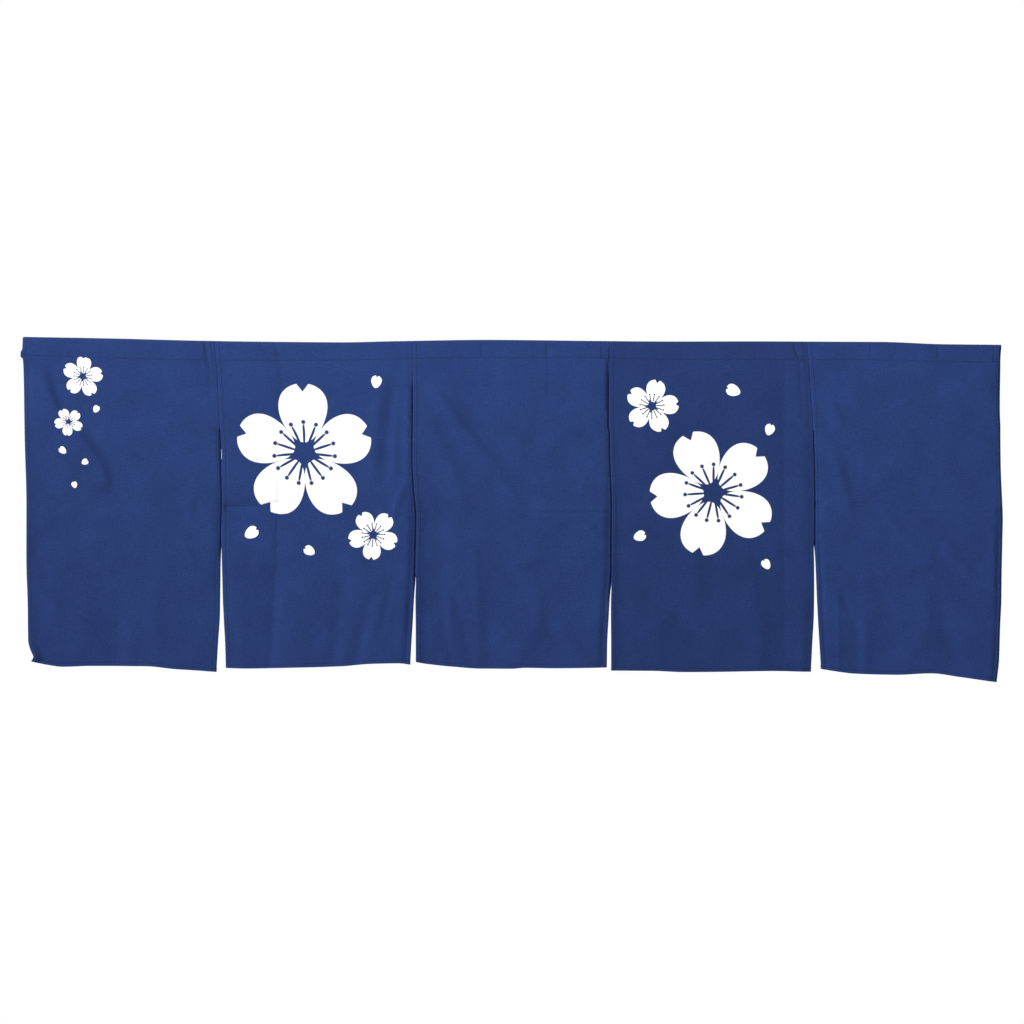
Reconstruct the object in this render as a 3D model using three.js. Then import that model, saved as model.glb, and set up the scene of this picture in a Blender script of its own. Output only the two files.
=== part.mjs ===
// A split shop curtain (noren): five narrow-loom cotton panels sewn side to side at the top and
// free below, with a rod sleeve made by folding each panel's own top end to the back.
// Millimetres, +Z up. X runs along the top edge from its middle, the front faces -Y, and Z = 0
// is the level of the top fold. "Down" is a distance below that level.

import * as THREE from 'three';

// ---- Driving sizes ---------------------------------------------------------------------------

const DROP = 568;
const CLOTH = 1.4;
const HEM_CLOTH = 2.4;
const SIDE_HEM = 8;
const BOTTOM_HEM = 6;
const HEM_STEP = 1.5;
const SEAM_GAP = 0.3;
const SLIT_GAP = 0.6;

const SLEEVE_FRONT_BULGE = 1;
const SLEEVE_BACK_BULGE = 11.5;
const SLEEVE_CREST = 3;
const SLEEVE_BAND = 4;
const SLEEVE_TURN = 2;

const HEM_FLAT = 9;
const EDGE_REACH = 19;
const RELIEF_START = 6;
const RELIEF_FULL = 45;

const BODY_COLUMNS = 22;
const BODY_ROWS = 16;

const INDIGO = 0x2b3f76;
const COTTON_ROUGHNESS = 0.92;

// ---- Shape tables ----------------------------------------------------------------------------

/** Turns rows of numbers into rows with named columns. */
function named(columns, rows) {
  return rows.map((row) => Object.fromEntries(columns.map((column, k) => [column, row[k]])));
}

// The top fold rises and dips a little along its length, and the sleeve's depth varies with it.
const TOP_FOLD = named(
  ['x', 'rise', 'sleeve'],
  [
    [-850, 3.5, 31.5],
    [-700, 1.5, 34.5],
    [-560, -1.5, 34.0],
    [-440, -3.0, 32.5],
    [-300, -3.5, 31.5],
    [-200, -1.0, 31.0],
    [-30, 2.0, 31.0],
    [136, 1.0, 29.5],
    [250, 0.5, 31.0],
    [450, 1.5, 32.0],
    [640, 1.5, 31.5],
    [750, -2.0, 30.0],
    [850, -2.5, 30.0],
  ],
);

// The lines that part or end the panels, from left to right. "line" is the x of the seam or slit
// and "open" the gap between the two edges there. "one" and "two" say how far the hems left and
// right of the line hang behind the face, and the tips how much further the very edges do.
const BORDER_COLUMNS = ['down', 'line', 'open', 'one', 'oneTip', 'two', 'twoTip'];
const BORDERS = [
  named(BORDER_COLUMNS, [
    [0, -850, 0, 0, 0, 0, 0],
    [16, -851, 0, 0, 0, 0, 0],
    [24, -854, 0, 0, 0, 0, 0],
    [33, -850, 0, 0, 0, 0.2, 0],
    [55, -848.5, 0, 0, 0, 0.5, 0],
    [176, -846, 0, 0, 0, 0.4, 0],
    [280, -842.5, 0, 0, 0, -0.3, 0],
    [385, -842, 0, 0, 0, -0.5, 0],
    [455, -839.5, 0, 0, 0, -1.2, 0],
    [524, -838, 0, 0, 0, -2.6, -0.6],
    [541, -833, 0, 0, 0, -3.2, -1],
    [552, -828, 0, 0, 0, -3.6, -1],
    [560, -832, 0, 0, 0, -3.6, -1],
  ]),
  named(BORDER_COLUMNS, [
    [0, -516.5, SEAM_GAP, 0, 0, 0, 0],
    [75, -511, SEAM_GAP, 0, 0, 0, 0],
    [153, -507, SEAM_GAP, 0, 0, 0, 0],
    [160, -505.6, SLIT_GAP, 0.4, 2.4, 0, 0],
    [182, -504.8, SLIT_GAP, 0.6, 3, 0, 0],
    [192, -504.4, SLIT_GAP, 0.6, 3, 0, 0],
    [202, -504.2, SLIT_GAP, 0.6, 3, 0, 0],
    [212, -504, SLIT_GAP, 0.6, 3, 0, 0],
    [290, -502.2, SLIT_GAP, 1, 3, 0, 0],
    [345, -503.8, SLIT_GAP, 1.3, 3, 0, 0],
    [356, -503.8, 0.9, 1.3, 2.6, 0.1, 0],
    [383, -503.8, 2.4, 1.3, 1.6, 0.2, 0],
    [420, -503.4, 3.8, 1, 1, 0.4, 0],
    [453, -503, 5, 0.4, 0.4, 0.4, 0],
    [488, -502.4, 7.5, 0.3, 0.3, 0.4, 0],
    [522, -502.5, 12, 0.3, 0.3, 0.4, 0],
    [573, -503, 16.5, 0.3, 0.3, 0.4, 0],
  ]),
  named(BORDER_COLUMNS, [
    [0, -173.5, SEAM_GAP, 0, 0, 0, 0],
    [104, -171.5, SEAM_GAP, 0, 0, 0, 0],
    [138, -171.8, SEAM_GAP, 0, 0, 0, 0],
    [146, -171.4, SLIT_GAP, 0.4, 2, 0, -0.6],
    [172, -171.4, SLIT_GAP, 0.5, 2.6, 0, -0.8],
    [206, -171.4, SLIT_GAP, 0.6, 2.8, 0, -1],
    [262, -168.2, SLIT_GAP, 1, 3, -0.4, -1.2],
    [307, -164, SLIT_GAP, 2.6, 2, -1, -2],
    [382, -165.4, SLIT_GAP, 3.6, 1, -1.4, -2],
    [404, -166, SLIT_GAP, 3.6, 0.5, -1.4, -1.9],
    [413, -166, 1.2, 3.6, 0.4, -1.4, -1.8],
    [451, -167.4, 3.2, 3.4, 0.2, -1.4, -1.6],
    [486, -168, 5.4, 3.4, 0.2, -1.4, -1.6],
    [521, -168.9, 7.8, 3.4, 0.2, -1.4, -1.6],
    [560, -169.8, 10, 3, 0.2, -1.4, -1.4],
  ]),
  named(BORDER_COLUMNS, [
    [0, 169.5, SEAM_GAP, 0, 0, 0, 0],
    [90, 169, SEAM_GAP, 0, 0, 0, 0],
    [147, 168.7, SEAM_GAP, 0, 0, 0, 0],
    [156, 170.6, SLIT_GAP, 0.2, 1.6, 0, -0.4],
    [182, 171.4, SLIT_GAP, 0.4, 1.8, -0.2, -0.6],
    [218, 172.6, SLIT_GAP, 0.6, 1.8, -0.3, -0.8],
    [285, 175.4, SLIT_GAP, 1.4, 1.4, -0.6, -1.5],
    [385, 175.2, SLIT_GAP, 3, 0.6, -0.6, -1.6],
    [425, 174, SLIT_GAP, 3.2, 0.2, -0.6, -1.5],
    [433, 173.4, 1.2, 3.2, 0.2, -0.6, -1.4],
    [450, 172.4, 2.3, 3, 0, -0.5, -1.2],
    [485, 171.5, 4.3, 2.8, 0, -0.5, -1.2],
    [519, 170.8, 6.6, 2.8, 0, -0.5, -1.2],
    [565, 170.6, 7.6, 2, 0, -0.2, -0.8],
  ]),
  named(BORDER_COLUMNS, [
    [0, 512, SEAM_GAP, 0, 0, 0, 0],
    [29, 514.8, SEAM_GAP, 0, 0, 0, 0],
    [78, 518.5, SEAM_GAP, 0, 0, 0, 0],
    [150, 523.5, SEAM_GAP, 0, 0, 0, 0],
    [158, 523.2, SLIT_GAP, 0, 0.2, 0.6, 2.4],
    [184, 523.6, SLIT_GAP, 0, 0.4, 0.8, 3],
    [220, 524.8, SLIT_GAP, 0, 0.4, 1, 3],
    [281, 525.8, SLIT_GAP, 0.2, 0.4, 1.4, 2.8],
    [342, 526, SLIT_GAP, 0.6, 0.6, 1.8, 1.4],
    [351, 526, 1, 0.8, 0.6, 1.9, 0.8],
    [379, 527.2, 2.5, 1, 0.6, 2, -0.4],
    [413, 528.2, 3.7, 1, 0.5, 2, -0.8],
    [448, 529, 5.2, 1, 0.5, 1.8, -1],
    [483, 529.6, 7.8, 1, 0.5, 1.6, -1],
    [518, 529.8, 12, 0.8, 0.5, 1.4, -0.8],
    [570, 530.3, 17.8, 0.6, 0.5, 1.2, -0.6],
  ]),
  named(BORDER_COLUMNS, [
    [0, 850, 0, 0, 0, 0, 0],
    [40, 849.7, 0, 0.4, 2.8, 0, 0],
    [99, 849, 0, 0.4, 2.8, 0, 0],
    [150, 849, 0, 0.4, 1, 0, 0],
    [203, 849.5, 0, 0.4, 0.6, 0, 0],
    [273, 852.5, 0, 0.4, 0.2, 0, 0],
    [308, 855, 0, 1.4, 0.4, 0, 0],
    [350, 854.7, 0, 3.6, 0.4, 0, 0],
    [400, 854, 0, 4.2, 0.4, 0, 0],
    [447, 853.5, 0, 3.2, 0.4, 0, 0],
    [490, 851.5, 0, 2.4, 0.4, 0, 0],
    [551, 850, 0, 3.2, 0.4, 0, 0],
    [586, 846, 0, 2.4, 0.4, 0, 0],
  ]),
];

// Each panel's bottom edge, as the distance down by the share of the way across it.
const HEM_LINE_COLUMNS = ['across', 'down'];
// Each panel's broader folds: a soft ridge (height above zero) or trough (below) along a bent path.
// It fades out over "left" and "right" of the path and at its ends. For a path that runs to the
// right, left is its lower side.
const FOLD_COLUMNS = ['x1', 'down1', 'x2', 'down2', 'x3', 'down3', 'left', 'right', 'height'];

const PANELS = [
  {
    name: 'panel_1',
    hemLine: named(HEM_LINE_COLUMNS, [
      [0, 560],
      [0.09, 566],
      [0.17, 569],
      [0.32, 567.5],
      [0.62, 567.5],
      [0.77, 572],
      [0.92, 575],
      [1, 577],
    ]),
    folds: named(FOLD_COLUMNS, [
      [-838, 0, -789, 134, -722, 208, 26, 12, 7],
      [-738, 176, -713, 228, -704, 312, 20, 12, 5.5],
      [-722, 292, -668, 312, -606, 346, 14, 12, 1.8],
      [-830, 378, -823, 410, -814, 450, 14, 12, 1.6],
      [-812, 415, -797, 460, -790, 520, 20, 16, 2.2],
      [-716, 395, -692, 500, -680, 620, 30, 34, -3.4],
      [-612, 365, -617, 480, -616, 620, 14, 12, 1.3],
      [-582, 330, -562, 365, -550, 410, 18, 14, 2],
      [-606, 510, -590, 560, -586, 640, 18, 16, 1.8],
    ]),
  },
  {
    name: 'panel_2',
    hemLine: named(HEM_LINE_COLUMNS, [
      [0, 570],
      [0.1, 570.7],
      [0.4, 568.6],
      [0.63, 566],
      [0.79, 561.6],
      [0.94, 560.5],
      [1, 563],
    ]),
    folds: named(FOLD_COLUMNS, [
      [-404, 370, -411, 470, -423, 620, 30, 12, -1.4],
      [-471, 430, -468, 500, -466, 620, 12, 12, 1.2],
      [-224, 36, -236, 140, -246, 268, 14, 12, 2.3],
      [-200, 36, -212, 140, -222, 268, 12, 12, -2.6],
      [-296, 375, -299, 480, -304, 620, 14, 12, -2],
      [-246, 440, -254, 500, -264, 620, 14, 12, -2],
      [-352, 365, -346, 440, -344, 520, 26, 20, 1.5],
      [-403, 39, -404, 220, -408, 372, 12, 12, -1.1],
      [-407, 350, -413, 460, -424, 620, 12, 20, -1.7],
    ]),
  },
  {
    name: 'panel_3',
    hemLine: named(HEM_LINE_COLUMNS, [
      [0, 558],
      [0.05, 561],
      [0.2, 566],
      [0.35, 569],
      [0.5, 569],
      [0.57, 567.3],
      [0.72, 567.8],
      [1, 566.3],
    ]),
    folds: named(FOLD_COLUMNS, [
      [-156, 40, -88, 152, -18, 244, 12, 12, 3.5],
      [-122, 46, -60, 140, 8, 228, 14, 25, -2.2],
      [-166, 100, -122, 188, -76, 330, 16, 12, 3],
      [-30, 215, -6, 262, 30, 320, 12, 12, 2],
      [-130, 275, -122, 380, -124, 500, 22, 14, -2.2],
      [-100, 310, -92, 390, -90, 460, 18, 12, 0.8],
      [-30, 372, -34, 470, -38, 620, 14, 20, -1.7],
      [47, 376, 46, 490, -20, 600, 25, 12, 1.4],
      [66, 380, 70, 490, 112, 600, 12, 18, -1.4],
      [-10, 404, 28, 382, 72, 358, 12, 14, 1.5],
      [92, 346, 125, 362, 160, 384, 16, 12, 1.1],
      [-20, 294, 80, 295, 172, 294, 30, 12, 1],
    ]),
  },
  {
    name: 'panel_4',
    hemLine: named(HEM_LINE_COLUMNS, [
      [0, 571.5],
      [0.2, 571.5],
      [0.36, 573.4],
      [0.55, 572.7],
      [0.8, 570.8],
      [1, 572],
    ]),
    folds: named(FOLD_COLUMNS, [
      [414, 400, 428, 480, 434, 620, 24, 18, 2.6],
      [290, 462, 350, 505, 420, 552, 16, 14, 1.9],
      [286, 450, 284, 520, 284, 620, 14, 14, -0.8],
      [506, 420, 507, 500, 507, 620, 12, 12, 1.4],
      [473, 3, 474, 275, 475, 600, 12, 26, -1.7],
    ]),
  },
  {
    name: 'panel_5',
    hemLine: named(HEM_LINE_COLUMNS, [
      [0, 567],
      [0.07, 570.4],
      [0.2, 575],
      [0.42, 576.5],
      [0.62, 573.8],
      [0.78, 579.7],
      [1, 589],
    ]),
    folds: named(FOLD_COLUMNS, [
      [556, 168, 582, 255, 616, 376, 18, 12, 2.1],
      [586, 200, 635, 232, 706, 254, 14, 12, 1.3],
      [676, 402, 710, 384, 750, 364, 12, 14, 1.5],
      [752, 348, 786, 366, 826, 392, 12, 12, 1.9],
      [612, 376, 617, 470, 611, 620, 12, 12, 1.5],
      [650, 380, 648, 480, 638, 620, 14, 20, -1.4],
      [712, 395, 724, 490, 664, 612, 22, 12, 1.5],
      [742, 400, 750, 490, 796, 612, 12, 20, -1.6],
      [822, 20, 828, 60, 826, 110, 14, 12, 1],
      [645, 291, 750, 292, 858, 292, 30, 12, 1],
    ]),
  },
];

// The sleeve's section, from its stitch line up to the fold: how far up, and how far it stands open.
const SLEEVE_SECTION = named(
  ['up', 'open'],
  [
    [0, 0],
    [0.2, 0.5],
    [0.45, 0.9],
    [0.7, 1],
    [0.9, 0.68],
  ],
);

// ---- Reading the tables ----------------------------------------------------------------------

/** The value of one column at a place along a table, on a smooth curve that never overshoots. */
function read(rows, key, at, column) {
  const last = rows.length - 1;
  if (at <= rows[0][key]) return rows[0][column];
  if (at >= rows[last][key]) return rows[last][column];
  let k = 0;
  while (rows[k + 1][key] < at) k += 1;
  const secant = (i) => (rows[i + 1][column] - rows[i][column]) / (rows[i + 1][key] - rows[i][key]);
  const slope = (i) => {
    if (i === 0) return secant(0);
    if (i === last) return secant(last - 1);
    const before = secant(i - 1);
    const after = secant(i);
    return before * after <= 0 ? 0 : (2 * before * after) / (before + after);
  };
  const span = rows[k + 1][key] - rows[k][key];
  const t = (at - rows[k][key]) / span;
  const rest = 1 - t;
  const ends = rows[k][column] * (1 + 2 * t) * rest * rest + rows[k + 1][column] * (3 - 2 * t) * t * t;
  return ends + span * t * rest * (slope(k) * rest - slope(k + 1) * t);
}

/** Where a panel's two side edges lie at one level, and how far back each is turned. */
function sideEdges(panelIndex, down) {
  const border = (which, column) => read(BORDERS[which], 'down', down, column);
  const first = panelIndex;
  const next = panelIndex + 1;
  return {
    left: border(first, 'line') + border(first, 'open') / 2,
    leftBack: border(first, 'two'),
    leftTip: border(first, 'twoTip'),
    right: border(next, 'line') - border(next, 'open') / 2,
    rightBack: border(next, 'one'),
    rightTip: border(next, 'oneTip'),
  };
}

// ---- The hanging surface ---------------------------------------------------------------------

/** How far aside a point lies of a fold's bent path (above zero to the right of a path that runs
 *  down), and how far along the path, as a share of it. */
function placeByPath(fold, x, down) {
  const legs = [
    [fold.x1, fold.down1, fold.x2, fold.down2],
    [fold.x2, fold.down2, fold.x3, fold.down3],
  ];
  let nearest = { away: Infinity, side: 1, along: 0 };
  legs.forEach(([x1, down1, x2, down2], half) => {
    const alongX = x2 - x1;
    const alongDown = down2 - down1;
    const share = ((x - x1) * alongX + (down - down1) * alongDown) / (alongX ** 2 + alongDown ** 2);
    const t = THREE.MathUtils.clamp(share, 0, 1);
    const away = Math.hypot(x - x1 - t * alongX, down - down1 - t * alongDown);
    const side = (x - x1) * alongDown - (down - down1) * alongX;
    if (away < nearest.away) nearest = { away, side, along: (half + t) / 2 };
  });
  return nearest;
}

/** How far one fold stands forward at a point. */
function foldHeight(fold, x, down) {
  const { away, side, along } = placeByPath(fold, x, down);
  const width = side > 0 ? fold.right : fold.left;
  const { smoothstep } = THREE.MathUtils;
  const ends = smoothstep(along, 0, 0.3) * (1 - smoothstep(along, 0.7, 1));
  return fold.height * Math.exp(-((away / width) ** 2)) * ends;
}

/** How far behind the face the cloth lies by a side edge: its hem, then back into the panel. */
function turnedBack(fromEdge, back, tip) {
  const inward = THREE.MathUtils.clamp((fromEdge - HEM_FLAT) / (EDGE_REACH - HEM_FLAT), 0, 1);
  return back * (1 - inward) ** 2 + tip * THREE.MathUtils.clamp(1 - fromEdge / HEM_FLAT, 0, 1);
}

/** The depth (y) of a panel's front face at a point below the sleeve. */
function frontDepth(panelIndex, x, down, stitchDown) {
  const edges = sideEdges(panelIndex, down);
  const fromLeft = x - edges.left;
  const fromRight = edges.right - x;
  const hang = THREE.MathUtils.smoothstep(down - stitchDown, RELIEF_START, RELIEF_FULL);
  const held = hang * THREE.MathUtils.smoothstep(Math.min(fromLeft, fromRight), 0, EDGE_REACH);
  let relief = 0;
  for (const fold of PANELS[panelIndex].folds) relief += foldHeight(fold, x, down);
  return turnedBack(fromLeft, edges.leftBack, edges.leftTip)
    + turnedBack(fromRight, edges.rightBack, edges.rightTip)
    - relief * held;
}

// ---- One panel -------------------------------------------------------------------------------

// Columns across a panel: the edge and the hem's inner line on each side, and an even run between.
const BODY_INSET = SIDE_HEM + HEM_STEP;
const COLUMNS = [
  { fromLeft: 0, hem: true },
  { fromLeft: SIDE_HEM, hem: true },
  ...Array.from({ length: BODY_COLUMNS + 1 }, (_, k) => ({ share: k / BODY_COLUMNS, hem: false })),
  { fromRight: SIDE_HEM, hem: true },
  { fromRight: 0, hem: true },
];

// Rows up a panel: the bottom edge, the hem's inner line, and an even run to the sleeve's band.
const ROWS = [
  { above: 0, hem: true },
  { above: BOTTOM_HEM, hem: true },
  ...Array.from({ length: BODY_ROWS + 1 }, (_, k) => ({ share: k / BODY_ROWS, hem: false })),
];

/** The x of a column at one level. */
function columnX(panelIndex, column, down) {
  const { left, right } = sideEdges(panelIndex, down);
  if (column.fromLeft !== undefined) return left + column.fromLeft;
  if (column.fromRight !== undefined) return right - column.fromRight;
  return THREE.MathUtils.lerp(left + BODY_INSET, right - BODY_INSET, column.share);
}

/** Offsets each point of the sleeve's inner line outwards by the cloth's thickness. */
function offsetOutwards(inner) {
  return inner.map((point, k) => {
    const before = inner[Math.max(k - 1, 0)];
    const after = inner[Math.min(k + 1, inner.length - 1)];
    const run = new THREE.Vector2(after.y - before.y, after.z - before.z).normalize();
    return { y: point.y - run.y * CLOTH, z: point.z + run.x * CLOTH };
  });
}

/** The points of one column's section: the outer ring, from the bottom of the front round to the
 *  bottom of the back, and the inner ring that bounds the sleeve's hollow. */
function columnSection(panelIndex, column) {
  const panel = PANELS[panelIndex];
  const at = (y, z) => new THREE.Vector3(columnX(panelIndex, column, -z), y, z);

  const topX = columnX(panelIndex, column, 0);
  const top = read(TOP_FOLD, 'x', topX, 'rise');
  const stitch = top - read(TOP_FOLD, 'x', topX, 'sleeve');
  const bandEnd = stitch - SLEEVE_BAND;

  const { left, right } = sideEdges(panelIndex, DROP);
  const across = (columnX(panelIndex, column, DROP) - left) / (right - left);
  const bottom = -read(panel.hemLine, 'across', across, 'down');

  const front = [];
  const back = [];
  for (const row of ROWS) {
    const bodyBottom = bottom + BOTTOM_HEM + HEM_STEP;
    const z = row.above === undefined
      ? THREE.MathUtils.lerp(bodyBottom, bandEnd, row.share)
      : bottom + row.above;
    const y = frontDepth(panelIndex, columnX(panelIndex, column, -z), -z, -stitch);
    front.push(at(y, z));
    back.push(at(y + (row.hem || column.hem ? HEM_CLOTH : CLOTH), z));
  }

  const innerTop = top - CLOTH;
  const wall = (side) => SLEEVE_SECTION.map(({ up, open }) => ({
    y: CLOTH + side * open,
    z: THREE.MathUtils.lerp(stitch, innerTop, up),
  }));
  const crest = { y: CLOTH + SLEEVE_CREST, z: innerTop };
  const hollow = [...wall(-SLEEVE_FRONT_BULGE), crest, ...wall(SLEEVE_BACK_BULGE).reverse()];
  const shell = offsetOutwards(hollow);
  shell[0] = { y: 0, z: stitch };
  shell[shell.length - 1] = { y: 2 * CLOTH + SLEEVE_TURN, z: stitch };
  const flapEnd = { y: 2 * CLOTH + SLEEVE_TURN, z: bandEnd };

  const sleeveOuter = [...shell, flapEnd].map(({ y, z }) => at(y, z));
  return {
    outer: [...front, ...sleeveOuter, ...back.reverse()],
    inner: hollow.slice(0, -1).map(({ y, z }) => at(y, z)),
  };
}

/** Places of the named points in a column's rings. */
function ringPlaces() {
  const rows = ROWS.length;
  const rungs = 2 * SLEEVE_SECTION.length + 1;
  const outerCount = 2 * rows + rungs + 1;
  return {
    outerCount,
    columnCount: outerCount + rungs - 1,
    frontTop: rows - 1,
    flapEnd: rows + rungs,
    shell: (rung) => rows + rung,
    hollow: (rung) => outerCount + (rung % (rungs - 1)),
    backOf: (row) => outerCount - 1 - row,
    rows,
    rungs,
  };
}

/** One panel as a closed solid: a thin sheet whose top end loops back into the open sleeve. */
function panelGeometry(panelIndex) {
  const place = ringPlaces();
  const positions = [];
  for (const column of COLUMNS) {
    const { outer, inner } = columnSection(panelIndex, column);
    for (const point of [...outer, ...inner]) positions.push(point.x, point.y, point.z);
  }

  const faces = [];
  const quad = (a, b, c, d) => faces.push(a, b, c, a, c, d);
  const last = COLUMNS.length - 1;
  for (let c = 0; c < last; c += 1) {
    const here = c * place.columnCount;
    const there = here + place.columnCount;
    for (let k = 0; k < place.outerCount; k += 1) {
      const next = (k + 1) % place.outerCount;
      quad(here + k, there + k, there + next, here + next);
    }
    for (let rung = 0; rung < place.rungs - 1; rung += 1) {
      const a = place.hollow(rung);
      const b = place.hollow(rung + 1);
      quad(here + b, there + b, there + a, here + a);
    }
  }

  const endQuads = [];
  for (let row = 0; row < place.rows - 1; row += 1) {
    endQuads.push([row, row + 1, place.backOf(row + 1), place.backOf(row)]);
  }
  const bandBack = place.backOf(place.rows - 1);
  endQuads.push([place.frontTop, place.shell(0), place.hollow(0), bandBack]);
  endQuads.push([bandBack, place.hollow(0), place.shell(place.rungs - 1), place.flapEnd]);
  for (let rung = 0; rung < place.rungs - 1; rung += 1) {
    endQuads.push([place.shell(rung), place.shell(rung + 1), place.hollow(rung + 1), place.hollow(rung)]);
  }
  const lastStart = last * place.columnCount;
  for (const [a, b, c, d] of endQuads) {
    quad(a, b, c, d);
    quad(lastStart + d, lastStart + c, lastStart + b, lastStart + a);
  }

  const geometry = new THREE.BufferGeometry();
  geometry.setAttribute('position', new THREE.Float32BufferAttribute(positions, 3));
  geometry.setIndex(faces);
  geometry.computeVertexNormals();
  return geometry;
}

// ---- The curtain -----------------------------------------------------------------------------

const cotton = new THREE.MeshStandardMaterial({
  color: INDIGO,
  roughness: COTTON_ROUGHNESS,
  metalness: 0,
});

const curtain = new THREE.Group();
PANELS.forEach((panel, panelIndex) => {
  const mesh = new THREE.Mesh(panelGeometry(panelIndex), cotton);
  mesh.name = panel.name;
  curtain.add(mesh);
});

export default curtain;
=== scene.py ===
"""A split shop curtain (noren) of indigo cotton, hanging in the open.

Five narrow panels are hemmed all round, sewn side by side at the top and free below, and each
panel's top end is turned over to the back as a rod sleeve. White blossoms are left undyed.
Metres, +Z up: X runs along the top edge, the front faces -Y and Z = 0 is the top fold. "Down" is a
distance below the top fold. The shape tables are written in millimetres.
"""

import math

import bpy
import numpy as np
from mathutils import Matrix, Vector, noise


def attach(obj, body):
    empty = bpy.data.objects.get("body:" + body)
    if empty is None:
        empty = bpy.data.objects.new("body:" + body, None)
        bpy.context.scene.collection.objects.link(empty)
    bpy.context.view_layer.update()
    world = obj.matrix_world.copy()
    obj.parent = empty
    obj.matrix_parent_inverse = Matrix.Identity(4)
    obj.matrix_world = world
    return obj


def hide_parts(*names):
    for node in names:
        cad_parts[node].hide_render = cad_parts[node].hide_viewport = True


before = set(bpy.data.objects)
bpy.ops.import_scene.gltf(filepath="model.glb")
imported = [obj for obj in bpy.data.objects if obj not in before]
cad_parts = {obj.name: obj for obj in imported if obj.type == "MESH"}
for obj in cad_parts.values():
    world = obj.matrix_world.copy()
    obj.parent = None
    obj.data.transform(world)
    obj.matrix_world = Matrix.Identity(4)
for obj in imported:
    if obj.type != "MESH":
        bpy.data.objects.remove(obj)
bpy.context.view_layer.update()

MM = 0.001

# ---- Driving sizes -----------------------------------------------------------------------------

DROP = 568 * MM
CLOTH = 0.38 * MM          # one layer's thickness
LAYER = 0.52 * MM          # from one layer to the next where they lie on each other
FACE_DEPTH = 0.3 * MM      # how far the face layer's middle lies behind the frame's front

SIDE_HEM = 8.8 * MM
SIDE_STITCH = 7.6 * MM
BOTTOM_HEM = 7.3 * MM
BOTTOM_STITCH = 6.0 * MM
STITCH_SHOULDER = 0.9 * MM
STITCH_DIP = 0.14 * MM
HEM_REST = 2.4 * MM        # from a stitch line to where the even cloth starts
HEM_EASE = 4 * MM          # the cloth's layers thin out over this width beside a side hem

SLEEVE_FRONT_BULGE = 1.0 * MM
SLEEVE_BACK_DEPTH = 13.4 * MM
SLEEVE_CREST_DEPTH = 3.6 * MM
SLEEVE_BAND = 4 * MM       # the flap's lower end hangs this far below the sleeve's stitch line
FLAP_RAW = 2 * MM

HEM_FLAT = 9 * MM          # a side hem hangs flat for this far in from its edge
EDGE_REACH = 19 * MM
RELIEF_START = 6 * MM
RELIEF_FULL = 45 * MM

SLOT_DEPTH = 6 * MM        # the under edge of a closed slit drops back this far
SLOT_REACH = 4.6 * MM
SLOT_OPENS = 3 * MM        # a slit this wide shows no dropped edge
FULL_LAP = 1.5 * MM
EDGE_ROUND = 0.8 * MM      # a hem's outer edge rolls back this far
EDGE_ROUND_REACH = 2.4 * MM
BOTTOM_FLARE = 0.8 * MM    # the bottom edge stands forward this far

CREASE_TIP = 0.5 * MM      # a crease's sharp middle is rounded this far
TUCK_EDGE = 1.2 * MM
FOLD_FADE = 0.3            # the share of its length over which a fold fades out at each end
CREASE_FADE = 0.06

COLUMN_STEP = 3.6 * MM
ROW_STEP = 3.5 * MM
FINE_STEP = 1.0 * MM
FINE_REACH = 5 * MM
FINE_FADE = 9 * MM
PROBES = 4001              # how many places the steps are counted at
SLEEVE_STEPS = 3           # rows for each step of the sleeve's section

# ---- Shape tables ------------------------------------------------------------------------------


def table(columns, rows, shares=()):
    """Rows of numbers in millimetres as named columns in metres; a share stays as written."""
    return {
        name: np.array([row[k] for row in rows], float) * (1 if name in shares else MM)
        for k, name in enumerate(columns.split())
    }


def rows_of(named):
    """A table's rows, each as a dict; none where the table is empty."""
    return [dict(zip(named, values)) for values in zip(*named.values())]


TOP_FOLD = table("x rise sleeve", [
    (-850, 3.5, 31.5),
    (-700, 1.5, 34.5),
    (-560, -1.5, 34.0),
    (-440, -3.0, 32.5),
    (-300, -3.5, 31.5),
    (-200, -1.0, 31.0),
    (-30, 2.0, 31.0),
    (136, 1.0, 29.5),
    (250, 0.5, 31.0),
    (450, 1.5, 32.0),
    (640, 1.5, 31.5),
    (750, -2.0, 30.0),
    (850, -2.5, 30.0),
])

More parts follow.
